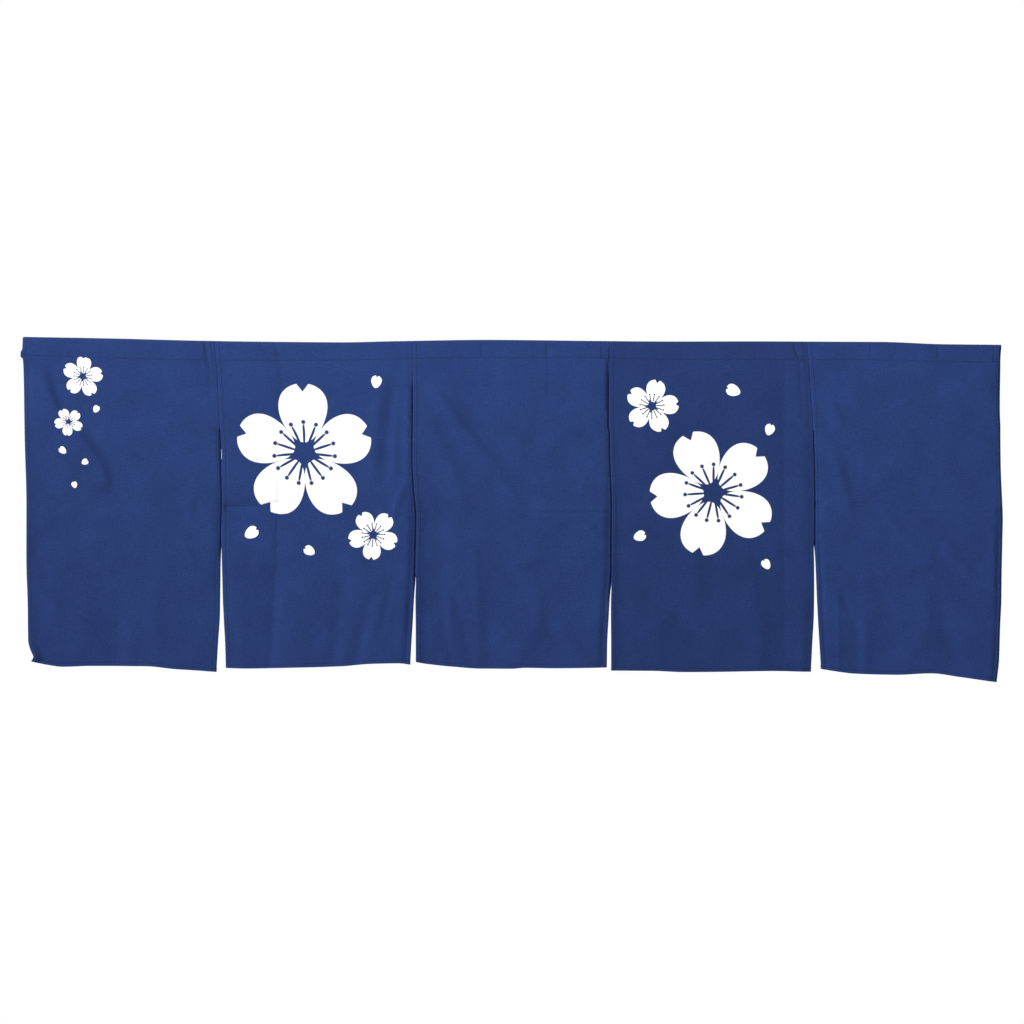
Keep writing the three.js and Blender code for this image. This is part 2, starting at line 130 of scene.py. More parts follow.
# The lines that part or end the panels, from left to right. "line" is the x of the seam or slit
# and "open" the gap between the two edges there (below zero where they lap). "one" and "two" say how
# far the hems left and right of the line hang behind the face, and the tips how much further the
# very edges do.
BORDER_COLUMNS = "down line open one one_tip two two_tip"
BORDERS = [
    table(BORDER_COLUMNS, [
        (0, -850, 0, 0, 0, 0, 0),
        (18, -850.8, 0, 0, 0, 0, 0),
        (22.5, -853.6, 0, 0, 0, 0, 0),
        (31, -854, 0, 0, 0, 0, 0),
        (34.5, -850, 0, 0, 0, 0, 0),
        (55, -848.5, 0, 0, 0, 0, 0),
        (176, -846, 0, 0, 0, 0.1, 0),
        (280, -842.5, 0, 0, 0, -0.3, 0),
        (385, -842, 0, 0, 0, -0.5, 0),
        (455, -839.5, 0, 0, 0, -0.4, 0),
        (524, -838, 0, 0, 0, -1.4, 0),
        (541, -833, 0, 0, 0, -3.4, -1.2),
        (552, -828, 0, 0, 0, -4.4, -1.6),
        (560, -832, 0, 0, 0, -4.4, -1.6),
    ]),
    table(BORDER_COLUMNS, [
        (0, -516.5, -0.1, 0, 0, 0, 0),
        (75, -511, -0.1, 0, 0, 0, 0),
        (153, -507, -0.1, 0, 0, 0, 0),
        (160, -505.6, -0.4, 0.4, 1.2, 0, 0),
        (182, -504.8, 0.2, 0.5, 1.4, 0, 0),
        (192, -504.4, 1.4, 0.5, 1.4, 0, 0),
        (204, -504.3, 1.6, 0.5, 1.4, 0, 0),
        (211, -504.2, 0.8, 0.5, 1.4, 0, 0),
        (218, -504, -0.4, 0.5, 1.4, 0, 0),
        (290, -502.2, -0.8, 0.8, 1.5, 0, 0),
        (345, -503.8, -0.4, 1, 1.6, 0, 0),
        (356, -503.8, 0.9, 1.2, 1.6, 0.1, 0),
        (383, -503.8, 2.4, 1.2, 1.2, 0.2, 0),
        (420, -503.4, 3.8, 1, 1, 0.4, 0),
        (453, -503, 5, 0.4, 0.4, 0.4, 0),
        (488, -502.4, 7.5, 0.3, 0.3, 0.4, 0),
        (522, -502.5, 12, 0.3, 0.3, 0.4, 0),
        (573, -503, 16.5, 0.3, 0.3, 0.4, 0),
    ]),
    table(BORDER_COLUMNS, [
        (0, -173.5, -0.1, 0, 0, 0, 0),
        (34, -172.9, -0.1, 0, 0, 0, 0),
        (66, -172.2, -0.1, 0, 0.1, 0, -0.1),
        (104, -171.5, -0.1, 0, 1.3, 0, -0.7),
        (138, -171.8, -0.1, 0, 1.6, 0, -0.7),
        (146, -171.4, -0.5, 0.2, 1.4, 0, -0.6),
        (172, -171.4, -0.8, 0.2, 1.2, 0, -0.6),
        (206, -171.4, -1, 0.4, 1.2, 0, -0.8),
        (262, -168.2, -1, 0.8, 1.6, -0.4, -1),
        (307, -164, -1, 2.4, 1.6, -1, -1.8),
        (382, -165.4, -0.8, 3.6, 1, -1.4, -2),
        (404, -166, 0.2, 3.6, 0.5, -1.4, -1.9),
        (413, -166, 1.2, 3.6, 0.4, -1.4, -1.8),
        (451, -167.4, 3.2, 3.4, 0.2, -1.4, -1.6),
        (486, -168, 5.4, 3.4, 0.2, -1.4, -1.6),
        (521, -168.9, 7.8, 3.4, 0.2, -1.4, -1.6),
        (560, -169.8, 10, 3, 0.2, -1.4, -1.4),
    ]),
    table(BORDER_COLUMNS, [
        (0, 169.5, -0.1, 0, 0, 0, 0),
        (34, 169.3, -0.1, 0, 0.2, 0, -0.2),
        (90, 169, -0.1, 0, 0.8, 0, -0.7),
        (147, 168.7, -0.1, 0, 0.8, 0, -0.5),
        (156, 170.6, -0.5, 0.2, 1.6, 0, -0.4),
        (182, 171.4, -0.8, 0.4, 1.8, -0.2, -0.6),
        (218, 172.6, -1, 0.6, 1.8, -0.3, -0.8),
        (285, 175.4, -1, 1.4, 1.4, -0.6, -1.5),
        (385, 175.2, -0.8, 3, 0.6, -0.6, -1.6),
        (425, 174, 0.1, 3.2, 0.2, -0.6, -1.5),
        (433, 173.4, 1.2, 3.2, 0.2, -0.6, -1.4),
        (450, 172.4, 2.3, 3, 0, -0.5, -1.2),
        (485, 171.5, 4.3, 2.8, 0, -0.5, -1.2),
        (519, 170.8, 6.6, 2.8, 0, -0.5, -1.2),
        (565, 170.6, 7.6, 2, 0, -0.2, -0.8),
    ]),
    table(BORDER_COLUMNS, [
        (0, 512, -0.1, 0, 0, 0, 0),
        (29, 514.8, -0.1, 0, 0, 0, 0),
        (78, 518.5, -0.1, 0, 0, 0, 0),
        (150, 523.5, -0.1, 0, 0, 0, 0),
        (158, 523.2, -0.5, 0, 0.2, 0.3, 1.1),
        (184, 523.6, -0.8, 0, 0.2, 0.4, 1.3),
        (220, 524.8, -1, 0, 0.2, 0.6, 1.3),
        (281, 525.8, -1, 0.1, 0.3, 1.1, 1.2),
        (342, 526, -0.8, 0.3, 0.3, 1.4, 1),
        (351, 526, 1, 0.5, 0.6, 1.9, 0.6),
        (379, 527.2, 2.5, 0.6, 0.6, 2, -0.4),
        (413, 528.2, 3.7, 0.6, 0.5, 2, -0.8),
        (448, 529, 5.2, 0.6, 0.5, 1.8, -1),
        (483, 529.6, 7.8, 0.6, 0.5, 1.6, -1),
        (518, 529.8, 12, 0.6, 0.5, 1.4, -0.8),
        (570, 530.3, 17.8, 0.6, 0.5, 1.2, -0.6),
    ]),
    table(BORDER_COLUMNS, [
        (0, 850, 0, 0, 0, 0, 0),
        (40, 849.7, 0, 0.2, 2.2, 0, 0),
        (99, 849, 0, 0.2, 2.2, 0, 0),
        (150, 849, 0, 0.1, 0.4, 0, 0),
        (203, 849.5, 0, 0.1, 0.3, 0, 0),
        (273, 852.5, 0, 0.2, 0.2, 0, 0),
        (308, 855, 0, 1.4, 0.4, 0, 0),
        (350, 854.7, 0, 3.6, 0.4, 0, 0),
        (400, 854, 0, 4.2, 0.4, 0, 0),
        (447, 853.5, 0, 3.2, 0.4, 0, 0),
        (490, 851.5, 0, 2.4, 0.4, 0, 0),
        (551, 850, 0, 3.2, 0.4, 0, 0),
        (586, 846, 0, 2.4, 0.4, 0, 0),
    ]),
]

# Each panel's bottom edge is the distance down by the share of the way across. A fold is a soft
# ridge (height above zero) or trough (below) along a bent path, and it fades out over "left" and
# "right" of the path and at its ends. For a path that runs to the right, left is its lower side. A
# crease is the same but pressed, with a sharp middle. A tuck is a flat patch, pressed in where its
# height is below zero. "dye" is how light the panel came out of the vat. A lit strip is painted
# light: the cloth beside a crease, turned towards the lamp, is painted lighter by its gain.
HEM_LINE_COLUMNS = "across down"
PATH_COLUMNS = "x1 down1 x2 down2 x3 down3 left right height"
TUCK_COLUMNS = "left top right bottom height"
LIT_STRIP_COLUMNS = "left right top bottom gain"

PANELS = [
    {
        "name": "panel_1",
        "dye": 1.0,
        "hem_line": table(HEM_LINE_COLUMNS, [
            (0, 560),
            (0.09, 566),
            (0.17, 569),
            (0.32, 567.5),
            (0.62, 567.5),
            (0.77, 572),
            (0.92, 575),
            (1, 577),
        ], shares=("across",)),
        "folds": table(PATH_COLUMNS, [
            (-838, 0, -792, 124, -718, 210, 34, 8.5, 6.6),
            (-770, 128, -711, 222, -701, 270, 20, 9, 4.6),
            (-722, 292, -668, 312, -606, 346, 14, 12, 1.8),
            (-830, 378, -823, 410, -814, 450, 14, 10, 1.6),
            (-812, 415, -797, 460, -790, 520, 20, 16, 2.2),
            (-716, 395, -692, 500, -680, 620, 30, 34, -3.4),
            (-612, 365, -617, 480, -616, 620, 14, 12, 1.3),
            (-582, 330, -562, 365, -550, 410, 18, 14, 3),
            (-560, 268, -557, 298, -556, 326, 10, 7, 1.1),
            (-606, 510, -590, 560, -586, 640, 18, 16, 1.8),
            (-688, 470, -685, 540, -684, 640, 40, 14, -1.6),
        ]),
        "creases": table(PATH_COLUMNS, [
            (-534, 5, -530, 30, -526, 52, 1.8, 1.6, -3.2),
            (-526, 52, -523, 74, -520, 130, 2.2, 2.2, -1.3),
            (-547, 46, -536, 47, -528, 48, 2.5, 2.5, -0.5),
        ]),
        "tucks": {},
        "lit_strips": {},
        "fine_across": (-529,),
        "fine_down": (47,),
    },
    {
        "name": "panel_2",
        "dye": 1.02,
        "hem_line": table(HEM_LINE_COLUMNS, [
            (0, 570),
            (0.1, 570.7),
            (0.4, 568.6),
            (0.63, 566),
            (0.79, 561.6),
            (0.94, 560.5),
            (1, 563),
        ], shares=("across",)),
        "folds": table(PATH_COLUMNS, [
            (-404, 370, -411, 470, -423, 620, 30, 11, -1.9),
            (-471, 430, -468, 500, -466, 620, 12, 12, 1.2),
            (-224, 36, -236, 140, -246, 268, 14, 12, 2.3),
            (-200, 36, -212, 140, -222, 268, 12, 10, -2.6),
            (-191, 80, -193, 170, -193, 275, 7, 7, -1.5),
            (-186, 246, -198, 280, -216, 336, 6, 6, 2.2),
            (-236, 285, -239, 350, -243, 425, 10, 9, -1.8),
            (-292, 375, -299, 480, -316, 610, 14, 12, -2.3),
            (-236, 420, -256, 500, -284, 610, 14, 10, -2.6),
            (-208, 410, -216, 465, -232, 530, 7, 6, -1.4),
            (-352, 365, -346, 440, -344, 520, 26, 20, 1.5),
        ]),
        "creases": table(PATH_COLUMNS, [
            (-414, 2, -408, 20, -404, 41, 2, 3, -1.6),
            (-403, 39, -404, 220, -408, 372, 4, 12, -1.5),
            (-407, 350, -413, 460, -424, 620, 7, 20, -1.7),
            (-501, 290, -454, 289, -390, 281, 8, 7, -3.1),
            (-501, 261, -492, 261, -483, 262, 1.5, 1.5, -0.4),
        ]),
        "tucks": {},
        "lit_strips": {},
        "fine_across": (-406,),
        "fine_down": (20, 261, 288),
    },
    {
        "name": "panel_3",
        "dye": 0.97,
        "hem_line": table(HEM_LINE_COLUMNS, [
            (0, 558),
            (0.05, 561),
            (0.2, 566),
            (0.35, 569),
            (0.5, 569),
            (0.57, 567.3),
            (0.72, 567.8),
            (1, 566.3),
        ], shares=("across",)),
        "folds": table(PATH_COLUMNS, [
            (-152, 58, -88, 152, -10, 242, 20, 10, 3.4),
            (-122, 46, -60, 140, 8, 228, 14, 25, -2.2),
            (-166, 100, -117, 190, -72, 330, 18, 14, 3.2),
            (-30, 215, -6, 262, 30, 320, 14, 14, 1.2),
            (-130, 275, -124, 380, -126, 500, 22, 14, -1.7),
            (-100, 310, -92, 390, -90, 460, 18, 12, 0.8),
            (-104, 420, -106, 490, -112, 620, 9, 9, 0.9),
            (-104, 415, -88, 475, -64, 590, 9, 8, -1.1),
            (-124, 460, -112, 515, -96, 590, 8, 7, -1.5),
            (-68, 312, -58, 440, -60, 620, 9, 9, 1),
            (-30, 372, -34, 470, -38, 620, 14, 20, -1.7),
            (49, 415, 46, 500, -20, 600, 25, 12, 1.3),
            (66, 420, 70, 500, 112, 600, 12, 18, -1.2),
            (-10, 404, 28, 382, 72, 358, 12, 14, 1.5),
            (92, 346, 125, 362, 160, 384, 16, 10, 1.1),
            (-70, 294, 95, 295, 260, 294, 30, 8, 2.4),
        ]),
        "creases": table(PATH_COLUMNS, [
            (61, 4, 62, 51, 62, 99, 2.5, 8, -1.1),
            (61, 2, 61, 16, 61, 31, 2.5, 2.5, -0.6),
            (-53, 4, -53, 16, -53, 29, 2, 3, -1),
            (20, 297, 100, 298, 174, 296, 5, 4, -1.1),
            (165.8, 34, 165.6, 70, 165, 124, 1.2, 1.4, -3.2),
        ]),
        "tucks": table(TUCK_COLUMNS, [(153, 1, 169.5, 30, -1.1)]),
        "lit_strips": {},
        "fine_across": (-53, 61, 153),
        "fine_down": (297,),
    },
    {
        "name": "panel_4",
        "dye": 0.83,
        "hem_line": table(HEM_LINE_COLUMNS, [
            (0, 571.5),
            (0.2, 571.5),
            (0.36, 573.4),
            (0.55, 572.7),
            (0.8, 570.8),
            (1, 572),
        ], shares=("across",)),
        "folds": table(PATH_COLUMNS, [
            (414, 400, 428, 480, 434, 620, 24, 18, 2.6),
            (290, 462, 350, 505, 420, 552, 16, 14, 1.9),
            (208, 405, 210, 470, 212, 560, 8, 8, 0.9),
            (286, 450, 284, 520, 284, 620, 14, 14, -0.8),
            (322, 345, 320, 400, 318, 455, 14, 14, 0.7),
            (267, 322, 267, 355, 266, 388, 7, 7, 0.7),
            (504, 60, 508, 240, 500, 420, 12, 10, 0.7),
            (506, 420, 507, 500, 507, 620, 12, 9, 1.1),
        ]),
        "creases": table(PATH_COLUMNS, [
            (473, 3, 474, 275, 475, 600, 9, 20, -1.3),
            (172, 279, 207, 279, 246, 279, 5, 5, -0.8),
            (489, 2, 493, 15, 498, 31, 2, 2, -2),
            (499, 29, 502, 75, 505, 140, 2.5, 2.5, -1.1),
            (482, 40, 493, 41, 501, 42, 2.5, 2.5, -0.5),
        ]),
        "tucks": {},
        # painted light: the strip beside the crease at x 473 turns towards the lamp, so it is painted
        # lighter
        "lit_strips": table(LIT_STRIP_COLUMNS, [(472, 500, -40, 380, 0.07)], shares=("gain",)),
        "fine_across": (474, 499),
        "fine_down": (41, 279),
    },
    {
        "name": "panel_5",
        "dye": 0.98,
        "hem_line": table(HEM_LINE_COLUMNS, [
            (0, 567),
            (0.07, 570.4),
            (0.2, 575),
            (0.42, 576.5),
            (0.62, 573.8),
            (0.78, 579.7),
            (1, 589),
        ], shares=("across",)),
        "folds": table(PATH_COLUMNS, [
            (548, 96, 565, 124, 576, 156, 12, 8, 1.2),
            (549, 160, 575, 245, 598, 330, 18, 9, 2.1),
            (586, 200, 635, 232, 706, 254, 14, 12, 1.3),
            (634, 282, 668, 318, 706, 360, 9, 9, 1.1),
            (676, 402, 710, 384, 750, 364, 12, 14, 1.5),
            (742, 352, 774, 376, 808, 410, 12, 9, 2.1),
            (570, 420, 586, 462, 602, 505, 7, 6, -1.2),
            (598, 470, 603, 540, 604, 640, 16, 8, -1.6),
            (612, 376, 617, 470, 611, 620, 9, 12, 1.2),
            (655, 380, 652, 480, 642, 620, 22, 20, -1.8),
            (712, 395, 724, 490, 664, 612, 22, 11, 1.5),
            (742, 400, 750, 490, 796, 612, 11, 20, -1.4),
            (758, 480, 758, 550, 758, 640, 30, 22, -1.8),
            (822, 20, 828, 60, 826, 110, 14, 9, 1),
            (590, 291, 765, 292, 940, 292, 30, 8, 2.4),
        ]),
        "creases": table(PATH_COLUMNS, [
            (568, 430, 569, 500, 570, 620, 9, 7, 1.6),
            (623, 5, 623, 17, 623, 29, 2, 3, -0.9),
            (739, 3, 740, 16, 740, 30, 2, 3, -1.1),
            (740, 29, 741, 180, 742, 320, 4, 12, -0.35),
            (680, 295, 770, 296, 860, 295, 4.5, 4, -1.2),
            (527, 253, 534, 253, 543, 253, 1.5, 1.5, -0.4),
            (527, 279, 534, 279, 545, 279, 4, 4, -2),
        ]),
        "tucks": table(TUCK_COLUMNS, [(834, 1, 850, 34, -1.1)]),
        "lit_strips": {},
        "fine_across": (569, 623, 739, 834),
        "fine_down": (253, 281, 294),
    },
]

# The sleeve's section, from its stitch line up to the fold: how far up, and how far it stands open.
SLEEVE_SECTION = table("up open", [
    (0, 0),
    (0.2, 0.5),
    (0.45, 0.9),
    (0.7, 1),
    (0.9, 0.68),
], shares=("up", "open"))

# Small rise and fall of the hanging cloth: how far apart its waves are, and how high.
CRUMPLE = rows_of(table("reach height", [
    (70, 1.4),
    (28, 0.5),
    (11, 0.13),
]))
CRUMPLE_APART = 9.7        # sets each panel's waves apart from the next one's

# Machine back-stitches that show as small lumps beside the seams. Panels count from 0.
BACK_TACKS = [
    {"panel": 1, "x": -504 * MM, "down": 55 * MM},
    {"panel": 1, "x": -500 * MM, "down": 135 * MM},
    {"panel": 4, "x": 524 * MM, "down": 48 * MM},
    {"panel": 4, "x": 529 * MM, "down": 124 * MM},
]

# Where the cloth is left white, on the flat cut of each panel: the centre's distance from the
# panel's left edge and down from the top fold, the size from the centre to a petal's tip, and the
# turn in degrees.
MOTIF_COLUMNS = "x down size turn"
BLOSSOMS = {
    0: table(MOTIF_COLUMNS, [
        (104, 66, 36, 10),
        (78, 146, 25, 47),
    ], shares=("turn",)),
    1: table(MOTIF_COLUMNS, [
        (146, 196, 122, 18),
        (262, 338, 44, 50),
    ], shares=("turn",)),
    3: table(MOTIF_COLUMNS, [
        (176, 262, 112, 40),
        (74, 112, 47, 5),
    ], shares=("turn",)),
}
LOOSE_PETALS = {
    0: table(MOTIF_COLUMNS, [
        (126, 122, 16, 60),
        (66, 196, 17, 140),
        (104, 216, 15, 30),
        (84, 256, 14, 105),
    ], shares=("turn",)),
    1: table(MOTIF_COLUMNS, [
        (52, 336, 30, 35),
        (152, 366, 24, 150),
        (274, 72, 26, 80),
    ], shares=("turn",)),
    3: table(MOTIF_COLUMNS, [
        (216, 84, 30, 160),
        (276, 152, 24, 70),
        (48, 338, 26, 20),
        (268, 386, 22, 120),
    ], shares=("turn",)),
}

# ---- Reading the tables ------------------------------------------------------------------------


def read(named, key, column, at):
    """A column's values at places along a table, on a smooth curve that never overshoots."""
    keys, values = named[key], named[column]
    secants = np.diff(values) / np.diff(keys)
    slopes = np.empty_like(values)
    slopes[0], slopes[-1] = secants[0], secants[-1]
    before, after = secants[:-1], secants[1:]
    same_way = before * after > 0
    total = np.where(same_way, before + after, 1)
    slopes[1:-1] = np.where(same_way, 2 * before * after / total, 0)
    at = np.clip(at, keys[0], keys[-1])
    k = np.clip(np.searchsorted(keys, at, side="right") - 1, 0, len(keys) - 2)
    span = keys[k + 1] - keys[k]
    t = (at - keys[k]) / span
    rest = 1 - t
    ends = values[k] * (1 + 2 * t) * rest * rest + values[k + 1] * (3 - 2 * t) * t * t
    return ends + span * t * rest * (slopes[k] * rest - slopes[k + 1] * t)


def smoothstep(value, low, high):
    """0 below low, 1 above high and a smooth change between them."""
    t = np.clip((value - low) / (high - low), 0, 1)
    return t * t * (3 - 2 * t)


def closed(border, down):
    """1 where a slit's two edges lap, down to 0 where the slit stands open."""
    return 1 - smoothstep(read(border, "down", "open", down), 0, SLOT_OPENS)


def side_edges(panel_index, down):
    """Where a panel's two side edges lie at one level, and how far back each is turned."""
    first, second = BORDERS[panel_index], BORDERS[panel_index + 1]
    names = BORDER_COLUMNS.split()[1:]
    one = {name: read(first, "down", name, down) for name in names}
    two = {name: read(second, "down", name, down) for name in names}
    lapped = one["one"] + one["one_tip"] - one["two"] - one["two_tip"]
    lapping = two["one"] + two["one_tip"] - two["two"] - two["two_tip"]
    return {
        "left": one["line"] + one["open"] / 2,
        "left_back": one["two"],
        "left_tip": one["two_tip"],
        "left_under": np.clip(-lapped / FULL_LAP, 0, 1) * closed(first, down),
        "right": two["line"] - two["open"] / 2,
        "right_back": two["one"],
        "right_tip": two["one_tip"],
        "right_under": np.clip(lapping / FULL_LAP, 0, 1) * closed(second, down),
    }


# ---- The hanging surface -----------------------------------------------------------------------


def place_by_path(path, x, down):
    """How far aside points lie of a bent path through three places, and how far along it.

    Aside is above zero to the right of a path that runs down. Along is a share of the path.
    """
    nearest = np.full(np.shape(x), np.inf)
    aside, along = np.zeros(np.shape(x)), np.zeros(np.shape(x))
    for half, (start, end) in enumerate((("1", "2"), ("2", "3"))):
        along_x = path["x" + end] - path["x" + start]
        along_down = path["down" + end] - path["down" + start]
        from_x, from_down = x - path["x" + start], down - path["down" + start]
        share = (from_x * along_x + from_down * along_down) / (along_x**2 + along_down**2)
        t = np.clip(share, 0, 1)
        away = np.hypot(from_x - t * along_x, from_down - t * along_down)
        side = np.sign(from_x * along_down - from_down * along_x)
        closer = away < nearest
        nearest = np.where(closer, away, nearest)
        aside = np.where(closer, side * away, aside)
        along = np.where(closer, (half + t) / 2, along)
    return aside, along


def faded_ends(along, fade):
    """1 in the middle of a path and 0 at its two ends, with a soft change over a share of it."""
    return smoothstep(along, 0, fade) * (1 - smoothstep(along, 1 - fade, 1))


def fold_relief(panel, x, down):
    """How far a panel's soft folds stand forward."""
    relief = np.zeros(np.shape(x))
    for fold in rows_of(panel["folds"]):
        aside, along = place_by_path(fold, x, down)
        away = aside / np.where(aside > 0, fold["right"], fold["left"])
        relief += fold["height"] * np.exp(-away**2) * faded_ends(along, FOLD_FADE)
    return relief


def crease_relief(panel, x, down):
    """How far a panel's pressed creases and tucks stand forward."""
    relief = np.zeros(np.shape(x))
    for crease in rows_of(panel["creases"]):
        aside, along = place_by_path(crease, x, down)
        reach = np.where(aside > 0, crease["right"], crease["left"])
        away = (np.hypot(aside, CREASE_TIP) - CREASE_TIP) / reach
        relief += crease["height"] * np.exp(-away) * faded_ends(along, CREASE_FADE)
    for tuck in rows_of(panel["tucks"]):
        across = smoothstep(x, tuck["left"], tuck["left"] + TUCK_EDGE)
        across = across * (1 - smoothstep(x, tuck["right"], tuck["right"] + TUCK_EDGE))
        along = smoothstep(down, tuck["top"] - TUCK_EDGE, tuck["top"])
        along = along * (1 - smoothstep(down, tuck["bottom"], tuck["bottom"] + TUCK_EDGE))
        relief += tuck["height"] * across * along
    return relief


def crumple_relief(panel_index, x, down):
    """Small waves over the cloth, the same on every run."""
    relief = np.zeros(x.size)
    for k, (px, pd) in enumerate(zip(x.ravel(), down.ravel())):
        for wave in CRUMPLE:
            place = Vector((px / wave["reach"], CRUMPLE_APART * panel_index, pd / wave["reach"]))
            relief[k] += wave["height"] * noise.noise(place)
    return relief.reshape(x.shape)


def turned_back(from_edge, back, tip, under):
    """How far behind the face the cloth lies by a side edge: its hem, then back into the panel."""
    inward = np.clip((from_edge - HEM_FLAT) / (EDGE_REACH - HEM_FLAT), 0, 1)
    depth = back * (1 - inward)**2
    depth += tip * np.clip(1 - from_edge / HEM_FLAT, 0, 1)
    depth += SLOT_DEPTH * under * smoothstep(SLOT_REACH - from_edge, 0, SLOT_REACH)
    return depth + EDGE_ROUND * (1 - np.clip(from_edge / EDGE_ROUND_REACH, 0, 1))**2


def face_depth(panel_index, x, down, stitch_down):
    """The depth (y) of a panel's face layer."""
    panel = PANELS[panel_index]
    edges = side_edges(panel_index, down)
    from_left, from_right = x - edges["left"], edges["right"] - x
    hang = smoothstep(down - stitch_down, RELIEF_START, RELIEF_FULL)
    held = hang * smoothstep(np.minimum(from_left, from_right), 0, EDGE_REACH)
    depth = FACE_DEPTH - crease_relief(panel, x, down)
    depth += turned_back(from_left, edges["left_back"], edges["left_tip"], edges["left_under"])
    depth += turned_back(from_right, edges["right_back"], edges["right_tip"], edges["right_under"])
    return depth - (fold_relief(panel, x, down) + crumple_relief(panel_index, x, down)) * held


# ---- The section of a hem ----------------------------------------------------------------------

RAW_SHARES = (0.35, 0.6, 0.85)
TURN_ANGLES = np.radians((0, 60, 120, 180))
STRIP_SHARES = (0.12, 0.36, 0.6, 0.82)
EDGE_ANGLES = np.radians((0, 45, 90, 135, 180))
FACE_SHARES = (0.17, 0.34, 0.5, 0.66, 0.83, 1)


def turned_depths(stack):
    """How deep a hem's raw edge and its turned strip lie, and the radius of the turn between."""
    raw_depth = stack + LAYER
    strip_depth = 3 * stack + 2 * LAYER
    return raw_depth, strip_depth, (strip_depth - raw_depth) / 2


def hem_section(width, stitch, stack):
    """A twice-turned hem's section from its raw edge, round the outer edge, to the face.

    The stack is how thick the layers behind the face already are. Each step gives how far in from
    the outer edge it lies, its depth behind the face, and the way towards the turn's inside.
    """
    stack = np.asarray(stack, float)
    raw_depth, strip_depth, inner = turned_depths(stack)
    outer = strip_depth / 2
    steps = []

    def step(inset, depth, to_inset, to_depth):
        steps.append(np.broadcast_arrays(inset + 0 * stack, depth + 0 * stack, to_inset, to_depth))

    for share in RAW_SHARES:
        step((width - inner) * share, raw_depth, 0.0, 1.0)
    for angle in TURN_ANGLES:
        along, across = math.sin(angle), math.cos(angle)
        step(width - inner + inner * along, raw_depth + inner - inner * across, -along, across)
    for share in STRIP_SHARES:
        step((width - inner) * (1 - share) + outer * share, strip_depth, 0.0, -1.0)
    for angle in EDGE_ANGLES:
        along, across = math.sin(angle), math.cos(angle)
        step(outer - outer * along, outer + outer * across, along, -across)
    for share in FACE_SHARES:
        step(outer + (stitch - STITCH_SHOULDER - outer) * share, 0.0, 0.0, 1.0)
    step(stitch, STITCH_DIP, 0.0, 1.0)
    step(stitch + STITCH_SHOULDER, 0.0, 0.0, 1.0)
    step(stitch + HEM_REST, 0.0, 0.0, 1.0)
    return np.array([list(s) for s in steps])


STRIP_STEP = len(RAW_SHARES) + len(TURN_ANGLES)
EDGE_STEP = STRIP_STEP + len(STRIP_SHARES) + len(EDGE_ANGLES) // 2
STITCH_STEP = EDGE_STEP + len(EDGE_ANGLES) // 2 + len(FACE_SHARES) + 1


def spread(start, end, step, fine_places):
    """Places from start to end about a step apart, and closer by each fine place."""
    probe = np.linspace(start, end, PROBES)
    gap = np.full_like(probe, step)
    for place in fine_places:
        near = 1 - smoothstep(np.abs(probe - place), FINE_REACH, FINE_REACH + FINE_FADE)
        gap = np.minimum(gap, step + (FINE_STEP - step) * near)
    count = np.concatenate([[0], np.cumsum(np.diff(probe) / gap[1:])])
    return np.interp(np.linspace(0, count[-1], round(count[-1]) + 1), count, probe)


# ---- Columns and rows of one panel -------------------------------------------------------------


def panel_columns(panel_index):
    """A panel's columns from its left raw edge to its right one, with how each lies.

    "side" is 0 in the left hem, 1 in the body and 2 in the right hem, and "share" is a body
    column's place between the hems. "depth" is how far behind the face a column lies, and "stack"
    how thick the layers behind the face are there. "u" runs across the flat cut, and "edge" is the
    distance along the cloth from the panel's folded edge.
    """
    section = hem_section(SIDE_HEM, SIDE_STITCH, 0.0)
    inset, depth = section[:, 0], section[:, 1]
    length = np.concatenate([[0], np.cumsum(np.hypot(np.diff(inset), np.diff(depth)))])
    along = length - length[EDGE_STEP]
    turned = np.arange(len(inset)) <= EDGE_STEP
    stack = np.where(turned, 1, 1 - smoothstep(inset, SIDE_HEM, SIDE_HEM + HEM_EASE)) * 2 * LAYER

    edges = side_edges(panel_index, DROP / 2)
    width = float(edges["right"] - edges["left"])
    fine = [place * MM - edges["left"] for place in PANELS[panel_index]["fine_across"]]
    body = spread(inset[-1], width - inset[-1], COLUMN_STEP, fine)[1:-1]
    body_stack = 1 - smoothstep(np.minimum(body, width - body), SIDE_HEM, SIDE_HEM + HEM_EASE)
    none = np.zeros(len(body))
    return {
        "from_left": np.concatenate([inset, none, 0 * inset]),
        "from_right": np.concatenate([0 * inset, none, inset[::-1]]),
        "side": np.concatenate([0 * inset, none + 1, 0 * inset + 2]).astype(int),
        "share": np.concatenate([0 * inset, (body - inset[-1]) / (width - 2 * inset[-1]), 0 * inset]),
        "depth": np.concatenate([depth, none, depth[::-1]]),
        "stack": np.concatenate([stack, body_stack * 2 * LAYER, stack[::-1]]),
        "u": np.concatenate([along, body, width - along[::-1]]),
        "edge": np.concatenate([along, np.minimum(body, width - body), along[::-1]]),
        "inset_end": inset[-1],
    }


def column_x(panel_index, columns, down):
    """The x of every column at the levels given, one row of levels for each row of cloth."""
    edges = side_edges(panel_index, down)
    left, right = edges["left"], edges["right"]
    end = columns["inset_end"]
    body = left + end + (right - left - 2 * end) * columns["share"]
    on_left = left + columns["from_left"]
    on_right = right - columns["from_right"]
    return np.choose(np.broadcast_to(columns["side"], np.shape(down)), (on_left, body, on_right))


def smooth_through(points, steps):
    """A smooth curve through a row of points, with that many steps between each two."""
    ends = np.vstack([2 * points[0] - points[1], points, 2 * points[-1] - points[-2]])
    curve = []
    for k in range(1, len(ends) - 2):
        a, b, c, d = ends[k - 1:k + 3]
        for t in np.arange(steps) / steps:
            curve.append(0.5 * (2 * b + (c - a) * t + (2 * a - 5 * b + 4 * c - d) * t**2
                                + (3 * b - a - 3 * c + d) * t**3))
    curve.append(points[-1])
    return np.array(curve)


